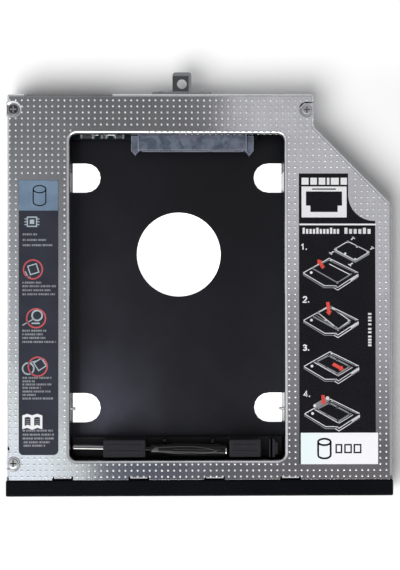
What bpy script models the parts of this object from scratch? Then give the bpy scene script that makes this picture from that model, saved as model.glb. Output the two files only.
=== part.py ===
"""Drive caddy for a laptop's slim optical bay, in metres, +Z up.

The front bezel faces -Y, the host connector and the bracket face +Y, and the drive bay opens upwards.
The origin is the centre of the footprint, on the underside.
"""

import math

import bmesh
import bpy
from mathutils import Matrix, Vector

MM = 0.001
PARTS = "laptop_drive_caddy"
TOOLS = "cutters"

# The drive that the bay takes
DRIVE_WIDTH = 69.85 * MM
DRIVE_LENGTH = 100.0 * MM
DRIVE_SIDE_CLEARANCE = 0.675 * MM
DRIVE_CLEARANCE = 0.2 * MM
DRIVE_HOLE_FROM_END = 90.6 * MM
DRIVE_HOLE_HEIGHT = 3.0 * MM

# Body, built up round the drive
BODY_HEIGHT = 12.7 * MM
LEFT_MARGIN = 20.95 * MM
RIGHT_MARGIN = 9.85 * MM
FRONT_MARGIN = 6.45 * MM
REAR_ZONE = 14.5 * MM
WING_WIDTH = 26.0 * MM
WING_HEIGHT = 7.0 * MM
SHOULDER = 10.8 * MM
GAP = 0.3 * MM
SNUG = 0.1 * MM

# Cover sheet
SHEET = 0.6 * MM
BEND = 0.9 * MM
COVER_FOOT = 0.5 * MM
LIP_RADIUS = 1.0 * MM
LIP_HEIGHT = 2.0 * MM
LIP_PAST_FOOT_HOLE = 1.25 * MM
WINDOW_CORNER = 2.2 * MM
WINDOW_PAST_DRIVE = 1.2 * MM
DISH_RADIUS = 2.7 * MM
DISH_DEPTH = 0.5 * MM
TAB_COUNT = 4
TAB_FIRST = 18.6 * MM
TAB_LAST = 7.95 * MM
TAB_WIDTH = 5.7 * MM
TAB_DROP = 3.0 * MM
NOTCH_WIDTH = 0.6 * MM
NOTCH_DEPTH = 1.2 * MM
SIDE_STEP_START = 24.7 * MM
SIDE_STEP_LENGTH = 7.6 * MM
SIDE_STEP_DEPTH = 0.35 * MM
HOST_OPENING_START = 5.9 * MM
HOST_OPENING_WIDTH = 29.1 * MM

# Bottom tray
FLOOR = 1.0 * MM
TRAY_WALL = 1.2 * MM
GUIDE_WALL = 0.8 * MM
BOSS_SIZE = 4.2 * MM
POST_RADIUS = 2.2 * MM
HUB_HOLE_RADIUS = 14.3 * MM
HUB_HOLE_FROM_END = 38.5 * MM
HUB_HOLE_OFFSET = 0.5 * MM
FOOT_HOLE_RADIUS = 5.0 * MM
FOOT_HOLE_STRAIGHT = 4.5 * MM
FOOT_HOLE_PITCH = 78.2 * MM

# Front bezel
BEZEL_DEPTH = 5.5 * MM
BEZEL_OVERHANG = 0.25 * MM
BEZEL_FACE = 1.8 * MM
BEZEL_RIM = 1.2 * MM
BEZEL_ROUND = 0.5 * MM
LUG_WIDTH = 5.0 * MM
LUG_HEIGHT = 1.5 * MM
LUG_LEVEL = 4.5 * MM
LUG_NOSE = 0.8 * MM
LUG_NOSE_LENGTH = 1.2 * MM

# Adapter board and connectors
BOARD_THICKNESS = 1.2 * MM
BOARD_LEVEL = 3.4 * MM
BOARD_PAST_SOCKET = 1.5 * MM
SOCKET_TAIL = 3.6 * MM
SOCKET_WIDTH = 36.4 * MM
SOCKET_OFFSET = 5.15 * MM
SOCKET_LEVEL = 2.2 * MM
SOCKET_HEIGHT = 5.8 * MM
SOCKET_REACH = 3.7 * MM
SOCKET_WALL = 1.1 * MM
ARM_WIDTH = 2.35 * MM
ARM_REACH = 5.3 * MM
ARM_TIP = 1.5 * MM
ARM_HEIGHT = 4.0 * MM
CONTACT_WIDTH = 0.6 * MM
CONTACT_PITCH = 1.27 * MM
CONTACT_HEIGHT = 0.2 * MM
SIGNAL_CONTACTS = 7
POWER_CONTACTS = 15
HOST_POWER_CONTACTS = 6
CONTACT_GROUP_GAP = 2.4 * MM
TONGUE = 0.9 * MM
TONGUE_SETBACK = 1.0 * MM
HOST_HEIGHT = 4.6 * MM
HOST_LENGTH = 7.4 * MM
HOST_SLOT_DEPTH = 4.8 * MM
CHIP_SIZES = (
    (3.2 * MM, 1.1 * MM, 0.9 * MM),
    (2.0 * MM, 1.1 * MM, 0.7 * MM),
    (4.4 * MM, 1.1 * MM, 1.0 * MM),
)
CHIP_GAP = 2.5 * MM

# Rear bracket
TAB_LENGTH = 7.5 * MM
TAB_PLATE_WIDTH = 6.3 * MM
TAB_HOLE_RADIUS = 1.65 * MM
TAB_HOLE_FROM_TIP = 3.9 * MM
TAB_CORNER = 1.0 * MM
BRACKET_SHEET = 0.8 * MM
BRACKET_WIDTH = 19.8 * MM
BRACKET_HEIGHT = 7.0 * MM
BRACKET_FROM_HOST = 13.3 * MM
BRACKET_LEVEL = 3.6 * MM
BRACKET_SCREW_INSET = 2.9 * MM

# Fasteners
HEAD_RADIUS = 1.75 * MM
HEAD_HEIGHT = 0.45 * MM
COVER_SHANK_LENGTH = 4.0 * MM
BRACKET_SHANK_LENGTH = 3.2 * MM
BOARD_SHANK_LENGTH = 2.6 * MM
SHANK_RADIUS = 0.85 * MM
HEAD_CROWN = ((0.72, 0.94), (0.94, 0.66), (1.0, 0.3))
SHANK_POINT = 0.4 * MM
CROSS_ARM = 1.1 * MM
CROSS_WIDTH = 0.45 * MM
CROSS_DEPTH = 0.3 * MM
COVER_SCREW_SIDE = 2.25 * MM
COVER_SCREW_REAR = 5.2 * MM
COVER_SCREW_FRONT = 5.5 * MM
PIN_RADIUS = 0.5 * MM
PIN_REACH = 1.2 * MM
PIN_FLANGE_RADIUS = 1.0 * MM
PIN_FLANGE = 0.4 * MM
PIN_CHAMFER = 0.1 * MM

# Retainer bar and the screwdriver that it stores
RETAINER_DEPTH = 6.4 * MM
RETAINER_CLEARANCE = 0.45 * MM
RETAINER_BEAM = 3.2 * MM
RETAINER_DROP = 1.7 * MM
LEFT_BLOCK_START = 10.9 * MM
LEFT_BLOCK_LENGTH = 14.1 * MM
RIGHT_BLOCK_FROM_END = 7.8 * MM
RIGHT_BLOCK_LENGTH = 10.5 * MM
BLOCK_INSET = 0.3 * MM
LATCH_FROM_END = 3.5 * MM
LATCH_THICKNESS = 0.8 * MM
LATCH_BOSS = 0.9 * MM
LATCH_BOSS_LENGTH = 3.8 * MM
STOP_WALL_FROM_LATCH = 0.7 * MM
STOP_WALL = 0.4 * MM
SADDLE_THICKNESS = 1.0 * MM
SADDLE_INSET = 5.0 * MM
LETTER_BAR = 0.6 * MM
LETTER_LINE_PITCH = 2.0 * MM
LETTER_INSET = 1.2 * MM
LETTER_RISE = 0.15 * MM
BLADE_RADIUS = 0.9 * MM
BLADE_START = 0.3 * MM
BLADE_TIP = 0.3 * MM
BLADE_SEAT = 8.0 * MM
BLADE_BORE_CLEARANCE = 0.5 * MM
BLADE_TIP_RADIUS = 0.75 * MM
HANDLE_RADIUS = 2.1 * MM
HANDLE_ROUND = 0.7 * MM
HANDLE_COLLAR_RADIUS = 1.8 * MM
HANDLE_NECK_RADIUS = 1.7 * MM
HANDLE_NECK = 3.1 * MM
HANDLE_SHOULDER = 7.8 * MM
HANDLE_START_CLEARANCE = 1.3 * MM
HANDLE_CLEARANCE = 0.6 * MM
FLUTE_RADIUS = 0.55 * MM
FLUTE_BITE = 0.3 * MM
FLUTE_FROM_END = 2.3 * MM
FLUTE_COUNT = 6
SCREWDRIVER_TILT = math.radians(-1.2)
SCREWDRIVER_ASIDE = 0.45 * MM

# Labels
LABEL = 0.1 * MM
LABEL_GLUE = 0.05 * MM
LEFT_LABEL_SIDE = 4.1 * MM
LEFT_LABEL_FROM_WINDOW = 3.75 * MM
LEFT_LABEL_FRONT = 8.3 * MM
LEFT_LABEL_REAR = 28.7 * MM
LEFT_LABEL_CORNER = 1.6 * MM
RIGHT_LABEL_SIDE = 5.6 * MM
RIGHT_LABEL_FROM_WINDOW = 4.85 * MM
RIGHT_LABEL_FRONT = 5.1 * MM
RIGHT_LABEL_REAR = 26.5 * MM
RIGHT_LABEL_STEP = 9.0 * MM
RIGHT_LABEL_STEP_LENGTH = 15.8 * MM
RIGHT_LABEL_SWEEP = 8.6 * MM

# Sizes and places that follow from those above
WINDOW_WIDTH = DRIVE_WIDTH + 2 * DRIVE_SIDE_CLEARANCE
DEEP_WIDTH = LEFT_MARGIN + WINDOW_WIDTH + RIGHT_MARGIN
BODY_WIDTH = DEEP_WIDTH + WING_WIDTH
RETAINER_ZONE = RETAINER_CLEARANCE + RETAINER_DEPTH + DRIVE_CLEARANCE
BODY_LENGTH = FRONT_MARGIN + RETAINER_ZONE + DRIVE_LENGTH + REAR_ZONE
LEFT = -BODY_WIDTH / 2
RIGHT = BODY_WIDTH / 2
BEZEL_FRONT = -(BEZEL_DEPTH + BODY_LENGTH + TAB_LENGTH) / 2
FRONT = BEZEL_FRONT + BEZEL_DEPTH
REAR = FRONT + BODY_LENGTH
STEP = LEFT + DEEP_WIDTH
DIAGONAL_START = REAR - SHOULDER
WING_FLOOR = BODY_HEIGHT - WING_HEIGHT
COVER_TO_TRAY = SHEET + GAP
TRAY_TOP = BODY_HEIGHT - COVER_TO_TRAY
TRAY_FRONT = FRONT + COVER_TO_TRAY
TRAY_REAR = REAR - COVER_TO_TRAY
DRIVE_END = REAR - REAR_ZONE
WINDOW_X = (LEFT + LEFT_MARGIN, STEP - RIGHT_MARGIN)
WINDOW_Y = (FRONT + FRONT_MARGIN, DRIVE_END + WINDOW_PAST_DRIVE)
BAY_CENTRE = sum(WINDOW_X) / 2
TAB_PITCH = (DEEP_WIDTH - TAB_FIRST - TAB_LAST) / (TAB_COUNT - 1)
PIN_ROW = DRIVE_END - DRIVE_HOLE_FROM_END
FLANGE_REAR = PIN_ROW + FOOT_HOLE_PITCH + LIP_PAST_FOOT_HOLE
DISH_FLOOR = BODY_HEIGHT - DISH_DEPTH
BOARD_TOP = BOARD_LEVEL + BOARD_THICKNESS
BOARD_Y = (DRIVE_END + GAP, TRAY_REAR - TRAY_WALL - GAP)
SOCKET_X = (
    BAY_CENTRE + SOCKET_OFFSET - SOCKET_WIDTH / 2,
    BAY_CENTRE + SOCKET_OFFSET + SOCKET_WIDTH / 2,
)
BOARD_X = (LEFT + COVER_TO_TRAY + BOSS_SIZE + GAP, SOCKET_X[1] + ARM_WIDTH + BOARD_PAST_SOCKET)
HOST_X = (LEFT + HOST_OPENING_START, LEFT + HOST_OPENING_START + HOST_OPENING_WIDTH)
BRACKET_X = (HOST_X[1] + BRACKET_FROM_HOST, HOST_X[1] + BRACKET_FROM_HOST + BRACKET_WIDTH)
BRACKET_Z = (BRACKET_LEVEL, BRACKET_LEVEL + BRACKET_HEIGHT)
BRACKET_SCREW_Z = sum(BRACKET_Z) / 2
RETAINER_X = (WINDOW_X[0] + RETAINER_CLEARANCE, WINDOW_X[1] - RETAINER_CLEARANCE)
RETAINER_Y = (WINDOW_Y[0] + RETAINER_CLEARANCE, WINDOW_Y[0] + RETAINER_CLEARANCE + RETAINER_DEPTH)
RETAINER_FOOT = FLOOR + GAP
RETAINER_TOP = BODY_HEIGHT - RETAINER_DROP
LEFT_BLOCK_X = (WINDOW_X[0] + LEFT_BLOCK_START, WINDOW_X[0] + LEFT_BLOCK_START + LEFT_BLOCK_LENGTH)
RIGHT_BLOCK_END = WINDOW_X[1] - RIGHT_BLOCK_FROM_END
RIGHT_BLOCK_X = (RIGHT_BLOCK_END - RIGHT_BLOCK_LENGTH, RIGHT_BLOCK_END)
SCREWDRIVER_Y = sum(RETAINER_Y) / 2 - SCREWDRIVER_ASIDE
SCREWDRIVER_Z = RETAINER_TOP - HANDLE_RADIUS
HANDLE_END = RIGHT_BLOCK_X[0] - HANDLE_CLEARANCE
HANDLE_LENGTH = HANDLE_END - LEFT_BLOCK_X[1] - HANDLE_START_CLEARANCE
COVER_SCREWS = {
    "rear_left": (LEFT + COVER_SCREW_SIDE, REAR - COVER_SCREW_REAR),
    "rear_right": (STEP - COVER_SCREW_SIDE, REAR - COVER_SCREW_REAR),
    "front_left": (LEFT + COVER_SCREW_SIDE, FRONT + COVER_SCREW_FRONT),
}
BRACKET_SCREWS = {
    "left": BRACKET_X[0] + BRACKET_SCREW_INSET,
    "right": BRACKET_X[1] - BRACKET_SCREW_INSET,
}
BOARD_SCREWS = {
    "left": (HOST_X[1] + POST_RADIUS + GAP, BOARD_Y[1] - POST_RADIUS - GAP),
    "right": (BOARD_X[1] - POST_RADIUS - GAP, BOARD_Y[1] - POST_RADIUS - GAP),
}
PAST = 5.0 * MM
WELD = 0.0001 * MM
ALMOST_HALF = 0.498
ARC_STEPS = 8
ROUND_STEPS = 28


# Scene and materials


def fresh_scene():
    for obj in list(bpy.data.objects):
        bpy.data.objects.remove(obj, do_unlink=True)
    for name in (PARTS, TOOLS):
        bpy.context.scene.collection.children.link(bpy.data.collections.new(name))


def material(name, colour, roughness, metallic=0.0):
    made = bpy.data.materials.new(name)
    made.use_nodes = True
    shader = made.node_tree.nodes["Principled BSDF"]
    shader.inputs["Base Color"].default_value = (*colour, 1)
    shader.inputs["Roughness"].default_value = roughness
    shader.inputs["Metallic"].default_value = metallic
    return made


def empty(name, location, parent=None):
    made = bpy.data.objects.new(name, None)
    bpy.data.collections[PARTS].objects.link(made)
    made.location = location
    made.parent = parent
    return made


def tool(obj):
    """Keeps a shape as a helper, out of the render."""
    bpy.data.collections[TOOLS].objects.link(obj)
    obj.hide_render = True
    obj.display_type = "WIRE"
    return obj


def part(obj, look, parent):
    """Turns a shape into a piece of the object."""
    bpy.data.collections[TOOLS].objects.unlink(obj)
    bpy.data.collections[PARTS].objects.link(obj)
    obj.hide_render = False
    obj.display_type = "TEXTURED"
    obj.data.materials.clear()
    obj.data.materials.append(look)
    bpy.context.view_layer.update()
    place = parent.matrix_world.inverted()
    obj.parent = parent
    obj.matrix_parent_inverse = place
    return obj


# Shapes


def meshed(obj):
    """The curve object as a mesh object whose caps are welded and whose flat faces are whole."""
    bpy.context.scene.collection.objects.link(obj)
    bpy.context.view_layer.update()
    graph = bpy.context.evaluated_depsgraph_get()
    mesh = bpy.data.meshes.new_from_object(obj.evaluated_get(graph))
    form = bmesh.new()
    form.from_mesh(mesh)
    bmesh.ops.remove_doubles(form, verts=form.verts, dist=WELD)
    bmesh.ops.dissolve_limit(form, angle_limit=math.radians(0.5), verts=form.verts, edges=form.edges)
    bmesh.ops.recalc_face_normals(form, faces=form.faces)
    form.to_mesh(mesh)
    form.free()
    name = obj.name
    place = obj.matrix_world.copy()
    bpy.data.objects.remove(obj, do_unlink=True)
    made = bpy.data.objects.new(name, mesh)
    made.matrix_world = place
    return tool(made)


def prism(name, outline, low, high, turn=(0, 0, 0), at=(0, 0, 0)):
    """An outline in X and Y, filled and extruded from low to high, then turned and set at a place."""
    curve = bpy.data.curves.new(name, "CURVE")
    curve.dimensions = "2D"
    curve.fill_mode = "BOTH"
    curve.extrude = (high - low) / 2
    spline = curve.splines.new("POLY")
    spline.points.add(len(outline) - 1)
    for point, (x, y) in zip(spline.points, outline):
        point.co = (x, y, 0, 1)
    spline.use_cyclic_u = True
    obj = bpy.data.objects.new(name, curve)
    obj.rotation_euler = turn
    middle = Vector((0, 0, (low + high) / 2))
    middle.rotate(obj.rotation_euler)
    obj.location = middle + Vector(at)
    return meshed(obj)


def blocks(name, limits):
    """Boxes in one mesh, each given by its (low, high) along X, Y and Z."""
    form = bmesh.new()
    for ranges in limits:
        corners = bmesh.ops.create_cube(form, size=1)["verts"]
        bmesh.ops.scale(form, vec=[high - low for low, high in ranges], verts=corners)
        bmesh.ops.translate(form, vec=[(low + high) / 2 for low, high in ranges], verts=corners)
    mesh = bpy.data.meshes.new(name)
    form.to_mesh(mesh)
    form.free()
    return tool(bpy.data.objects.new(name, mesh))


def block(name, x, y, z):
    return blocks(name, [(x, y, z)])


def rods(name, radius, length, places, axis="Z", steps=ROUND_STEPS):
    """Cylinders in one mesh, each centred on a place and lying along one axis."""
    turns = {"X": ("Y", math.pi / 2), "Y": ("X", math.pi / 2), "Z": ("Z", 0)}
    about, angle = turns[axis]
    spin = Matrix.Rotation(angle, 3, about)
    form = bmesh.new()
    for place in places:
        made = bmesh.ops.create_cone(
            form, cap_ends=True, segments=steps, radius1=radius, radius2=radius, depth=length
        )["verts"]
        bmesh.ops.rotate(form, verts=made, matrix=spin)
        bmesh.ops.translate(form, verts=made, vec=place)
    mesh = bpy.data.meshes.new(name)
    form.to_mesh(mesh)
    form.free()
    return tool(bpy.data.objects.new(name, mesh))


def turned(name, profile, steps=ROUND_STEPS):
    """A profile of (radius, height) from the top of the axis to its foot, turned about Z."""
    mesh = bpy.data.meshes.new(name)
    points = [(radius, 0, height) for radius, height in profile]
    mesh.from_pydata(points, [(i, i + 1) for i in range(len(points) - 1)], [])
    obj = tool(bpy.data.objects.new(name, mesh))
    screw = obj.modifiers.new("turn", "SCREW")
    screw.steps = steps
    screw.render_steps = steps
    screw.use_merge_vertices = True
    screw.merge_threshold = WELD
    return obj


def arc(centre, radius, start, end, steps=ARC_STEPS):
    """Points on an arc between two angles in degrees."""
    angles = [math.radians(start + (end - start) * i / steps) for i in range(steps + 1)]
    return [(centre[0] + radius * math.cos(a), centre[1] + radius * math.sin(a)) for a in angles]


def rounded(x, y, radius, grow=0.0, steps=ARC_STEPS):
    """A rectangle with round corners, grown outwards by an amount."""
    inner = min(radius, ALMOST_HALF * (x[1] - x[0]), ALMOST_HALF * (y[1] - y[0]))
    west, east = x[0] + inner, x[1] - inner
    south, north = y[0] + inner, y[1] - inner
    turn = inner + grow
    return (
        arc((west, south), turn, 180, 270, steps)
        + arc((east, south), turn, 270, 360, steps)
        + arc((east, north), turn, 0, 90, steps)
        + arc((west, north), turn, 90, 180, steps)
    )


def loft(name, rings):
    """A closed solid through rings of (outline, height), all with as many points."""
    form = bmesh.new()
    loops = [[form.verts.new((x, y, height)) for x, y in outline] for outline, height in rings]
    for low, high in zip(loops, loops[1:]):
        for i in range(len(low)):
            j = (i + 1) % len(low)
            form.faces.new((low[i], low[j], high[j], high[i]))
    form.faces.new(reversed(loops[0]))
    form.faces.new(loops[-1])
    bmesh.ops.recalc_face_normals(form, faces=form.faces)
    mesh = bpy.data.meshes.new(name)
    form.to_mesh(mesh)
    form.free()
    return tool(bpy.data.objects.new(name, mesh))


def combine(target, other, operation):
    modifier = target.modifiers.new(other.name, "BOOLEAN")
    modifier.operation = operation
    modifier.object = other
    modifier.solver = "EXACT"


def cut(target, other):
    combine(target, other, "DIFFERENCE")


def join(target, other):
    combine(target, other, "UNION")


def soften(obj, width, segments=2, angle=40):
    modifier = obj.modifiers.new("rounding", "BEVEL")
    modifier.width = width
    modifier.segments = segments
    modifier.limit_method = "ANGLE"
    modifier.angle_limit = math.radians(angle)


def smooth(obj):
    obj.data.shade_smooth()
    obj.data.set_sharp_from_angle(angle=math.radians(35))


def body_outline(inset=0.0, front=FRONT):
    """The body seen from above, with its corner cut off at 45 degrees behind the wing."""
    shift = inset * math.tan(math.pi / 8)
    diagonal = RIGHT - STEP
    return [
        (LEFT + inset, front),
        (RIGHT - inset, front),
        (RIGHT - inset, DIAGONAL_START - diagonal - shift),
        (STEP - inset, DIAGONAL_START - shift),
        (STEP - inset, REAR - inset),
        (LEFT + inset, REAR - inset),
    ]


# Cover


def cover_shell():
    """The plate and its folded walls: an open box, thickened inwards."""
    obj = prism("top_cover", body_outline(front=FRONT - PAST), COVER_FOOT, BODY_HEIGHT)
    form = bmesh.new()
    form.from_mesh(obj.data)
    lowest = min(vert.co.z for vert in form.verts)
    under = [face for face in form.faces if all(v.co.z - lowest < WELD for v in face.verts)]
    bmesh.ops.delete(form, geom=under, context="FACES_ONLY")
    form.to_mesh(obj.data)
    form.free()
    soften(obj, BEND, segments=3, angle=30)
    thicken = obj.modifiers.new("sheet", "SOLIDIFY")
    thicken.thickness = SHEET
    thicken.offset = -1
    thicken.use_even_offset = True
    obj.modifiers.new("flat_faces", "TRIANGULATE")
    return obj


def window_opening():
    """The hole in the plate, whose upper edge rolls over into the folded lip."""
    rings = [(rounded(WINDOW_X, WINDOW_Y, WINDOW_CORNER), -PAST)]
    for i in range(ARC_STEPS + 1):
        angle = math.pi / 2 * i / ARC_STEPS
        height = BODY_HEIGHT - LIP_RADIUS + LIP_RADIUS * math.sin(angle)
        grow = LIP_RADIUS * (1 - math.cos(angle))
        rings.append((rounded(WINDOW_X, WINDOW_Y, WINDOW_CORNER, grow), height))
    rings.append((rings[-1][0], BODY_HEIGHT + PAST))
    return loft("window_opening", rings)


def add_window(cover):
    """Lips folded down all round, which go down to the floor beside the drive."""
    ring = rounded(WINDOW_X, WINDOW_Y, WINDOW_CORNER, SHEET)
    join(cover, prism("window_flange", ring, RETAINER_FOOT, BODY_HEIGHT - SHEET / 2))
    cut(cover, window_opening())
    lip = BODY_HEIGHT - LIP_HEIGHT
    across = (WINDOW_X[0] - PAST, WINDOW_X[1] + PAST)
    ends = [
        (across, (FLANGE_REAR, WINDOW_Y[1] + PAST / 2), (-PAST, lip)),
        (across, (WINDOW_Y[0] - PAST / 2, WINDOW_Y[0] + WINDOW_CORNER), (-PAST, lip)),
    ]
    cut(cover, blocks("lip_undercut", ends))


def add_dishes(cover):
    """A pressed seat for each cover screw, open to the side of the body."""
    places = list(COVER_SCREWS.values())
    depth = SHEET / 2 + DISH_DEPTH
    centre = BODY_HEIGHT - SHEET / 2 - depth / 2
    seats = rods("dish_seats", DISH_RADIUS + SHEET, depth, [(x, y, centre) for x, y in places])
    combine(seats, prism("dish_limits", body_outline(), -PAST, BODY_HEIGHT + PAST), "INTERSECT")
    join(cover, seats)
    reach = DISH_DEPTH + PAST
    dishes = rods("dishes", DISH_RADIUS, reach, [(x, y, DISH_FLOOR + reach / 2) for x, y in places])
    cut(cover, dishes)
    cut(cover, rods("cover_holes", SHANK_RADIUS + GAP, 4 * PAST, [(x, y, BODY_HEIGHT) for x, y in places]))


def tab_centres():
    return [LEFT + TAB_FIRST + TAB_PITCH * i for i in range(TAB_COUNT)]


def add_front_tabs(cover):
    """Tabs folded down behind the bezel, each between two relief notches."""
    drop = (BODY_HEIGHT - TAB_DROP, BODY_HEIGHT - SHEET / 2)
    half = TAB_WIDTH / 2
    tabs = [((x - half, x + half), (FRONT, FRONT + SHEET), drop) for x in tab_centres()]
    join(cover, blocks("front_tabs", tabs))
    notches = []
    for x in tab_centres():
        for side in (-1, 1):
            inner = x + side * half
            outer = inner + side * NOTCH_WIDTH
            wide = (min(inner, outer), max(inner, outer))
            notches.append((wide, (FRONT - PAST, FRONT + NOTCH_DEPTH), (-PAST, BODY_HEIGHT + PAST)))
    cut(cover, blocks("tab_notches", notches))
    waste = [(PAST, -PAST), (PAST, PAST), (-PAST, PAST)]
    bend = [(y - BEND, z - BEND) for y, z in arc((0, 0), BEND, 90, 0)]
    corner = [(-y, z) for y, z in bend + waste]
    reach = half + NOTCH_WIDTH / 2
    fold = prism(
        "tab_bend", corner, -reach, reach, (math.pi / 2, 0, math.pi / 2), (0, FRONT, BODY_HEIGHT)
    )
    for index, x in enumerate(tab_centres()):
        copy = tool(bpy.data.objects.new(f"tab_bend_{index}", fold.data))
        copy.rotation_euler = fold.rotation_euler
        copy.location = fold.location + Vector((x, 0, 0))
        cut(cover, copy)
    bpy.data.objects.remove(fold)


def top_cover(look, parent):
    """Folded aluminium sheet: plate, side and rear walls, window lips, screw seats and front tabs."""
    cover = cover_shell()
    wide = (LEFT - PAST, RIGHT + PAST)
    cut(cover, block("front_trim", wide, (FRONT - 3 * PAST, FRONT), (-PAST, BODY_HEIGHT + PAST)))
    wing = (STEP + SHEET / 4, RIGHT + PAST)
    cut(cover, block("wing_trim", wing, (FRONT - PAST, REAR + PAST), (-PAST, WING_FLOOR + GAP)))
    add_window(cover)
    add_dishes(cover)
    add_front_tabs(cover)
    cut(cover, block("host_opening", HOST_X, (REAR - BEND, REAR + PAST), (-PAST, BODY_HEIGHT + PAST)))
    step = (FRONT + SIDE_STEP_START, FRONT + SIDE_STEP_START + SIDE_STEP_LENGTH)
    side = (LEFT - PAST, LEFT + SIDE_STEP_DEPTH)
    cut(cover, block("side_step", side, step, (BODY_HEIGHT - 2 * BEND, BODY_HEIGHT + PAST)))
    holes = [(x, REAR, BRACKET_SCREW_Z) for x in BRACKET_SCREWS.values()]
    cut(cover, rods("rear_holes", SHANK_RADIUS + GAP, PAST, holes, "Y"))
    pins = [(x, PIN_ROW, RETAINER_FOOT + DRIVE_HOLE_HEIGHT) for x in WINDOW_X]
    cut(cover, rods("pin_holes", PIN_RADIUS + SNUG, 4 * SHEET, pins, "X"))
    smooth(cover)
    return part(cover, look, parent)


# Tray


def foot_holes():
    """Four holes that open at the bay's sides and end in a half round."""
    made = []
    for side, wall in ((1, WINDOW_X[0]), (-1, WINDOW_X[1])):
        for row in (PIN_ROW, PIN_ROW + FOOT_HOLE_PITCH):
            centre = FOOT_HOLE_STRAIGHT
            outline = [(0, FOOT_HOLE_RADIUS), (0, -FOOT_HOLE_RADIUS)]
            outline += arc((centre, 0), FOOT_HOLE_RADIUS, -90, 90)
            outline = [(wall + side * x, row + y) for x, y in outline]
            made.append(prism(f"foot_hole_{len(made)}", outline, -PAST, RETAINER_FOOT))
    return made


def add_tray_supports(tray):
    """Bosses under the cover screws, posts under the board and the guide walls beside the drive's end."""
    seat = DISH_FLOOR - SHEET - GAP
    bosses = []
    for name, (x, y) in COVER_SCREWS.items():
        wall = STEP - COVER_TO_TRAY if name.endswith("right") else LEFT + COVER_TO_TRAY
        inner = wall - BOSS_SIZE if name.endswith("right") else wall + BOSS_SIZE
        along = (y - BOSS_SIZE / 2, y + BOSS_SIZE / 2)
        bosses.append(((min(wall, inner), max(wall, inner)), along, (0, seat)))
    join(tray, blocks("screw_bosses", bosses))
    height = BOARD_LEVEL - GAP
    posts = [(x, y, height / 2) for x, y in BOARD_SCREWS.values()]
    join(tray, rods("board_posts", POST_RADIUS, height, posts))
    top = BODY_HEIGHT - LIP_HEIGHT - GAP
    along = (FLANGE_REAR + GAP, DRIVE_END)
    guides = [
        ((WINDOW_X[0] - GUIDE_WALL, WINDOW_X[0]), along, (FLOOR / 2, top)),
        ((WINDOW_X[1], WINDOW_X[1] + GUIDE_WALL), along, (FLOOR / 2, top)),
    ]
    join(tray, blocks("guide_walls", guides))


def cut_tray_holes(tray):
    clear = BODY_HEIGHT + PAST
    seats = [(x, y, clear / 2 + FLOOR) for x, y in COVER_SCREWS.values()]
    cut(tray, rods("boss_holes", SHANK_RADIUS + SNUG, clear, seats))
    relief = DISH_FLOOR - SHEET - GAP + PAST / 2
    dishes = [(x, y, relief) for x, y in COVER_SCREWS.values()]
    cut(tray, rods("dish_relief", DISH_RADIUS + SHEET + GAP, PAST, dishes))
    posts = [(x, y, clear / 2 + FLOOR / 2) for x, y in BOARD_SCREWS.values()]
    cut(tray, rods("post_holes", SHANK_RADIUS + SNUG, clear, posts))
    rear = [(x, TRAY_REAR, BRACKET_SCREW_Z) for x in BRACKET_SCREWS.values()]
    cut(tray, rods("tray_rear_holes", SHANK_RADIUS + SNUG, 2 * PAST, rear, "Y"))
    hub = (BAY_CENTRE + HUB_HOLE_OFFSET, DRIVE_END - HUB_HOLE_FROM_END, 0)
    cut(tray, rods("hub_hole", HUB_HOLE_RADIUS, 2 * FLOOR + GAP, [hub], steps=64))
    for hole in foot_holes():
        cut(tray, hole)
    behind = (TRAY_REAR - TRAY_WALL - SNUG, TRAY_REAR + PAST)
    cut(tray, block("tray_host_opening", HOST_X, behind, (BOARD_LEVEL - GAP, BODY_HEIGHT)))
    slots = []
    for x in tab_centres():
        half = LUG_WIDTH / 2 + GAP
        ahead = (TRAY_FRONT - PAST, TRAY_FRONT + TRAY_WALL + SNUG)
        slots.append(((x - half, x + half), ahead, (LUG_LEVEL - GAP, LUG_LEVEL + LUG_HEIGHT + GAP)))
    cut(tray, blocks("lug_slots", slots))


def bottom_tray(look, parent):
    """Moulded pan: a deep main part beside a shallow wing, open at the top."""
    edge = COVER_TO_TRAY
    deep = [
        (LEFT + edge, TRAY_FRONT),
        (STEP - edge, TRAY_FRONT),
        (STEP - edge, TRAY_REAR),
        (LEFT + edge, TRAY_REAR),
    ]
    tray = prism("bottom_tray", deep, 0, TRAY_TOP)
    wing = wing_outline(edge, TRAY_FRONT, STEP - edge - TRAY_WALL)
    join(tray, prism("wing_pan", wing, WING_FLOOR, TRAY_TOP))
    inner = edge + TRAY_WALL
    room = rounded(
        (LEFT + inner, STEP - inner), (TRAY_FRONT + TRAY_WALL, REAR - inner), TRAY_WALL, steps=4
    )
    cut(tray, prism("deep_room", room, FLOOR, BODY_HEIGHT + PAST))
    hollow = wing_outline(inner, TRAY_FRONT + TRAY_WALL, STEP - inner - TRAY_WALL)
    cut(tray, prism("wing_room", hollow, WING_FLOOR + TRAY_WALL, BODY_HEIGHT + PAST))
    add_tray_supports(tray)
    cut_tray_holes(tray)
    return part(tray, look, parent)


def wing_outline(inset, front, west):
    """The wing beside the deep part, with the same diagonal as the body."""
    shift = inset * math.tan(math.pi / 8)
    start = DIAGONAL_START - shift
    return [
        (west, front),
        (RIGHT - inset, front),
        (RIGHT - inset, start - (RIGHT - STEP)),
        (STEP - inset, start),
        (west, start),
    ]


# Bezel


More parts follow.
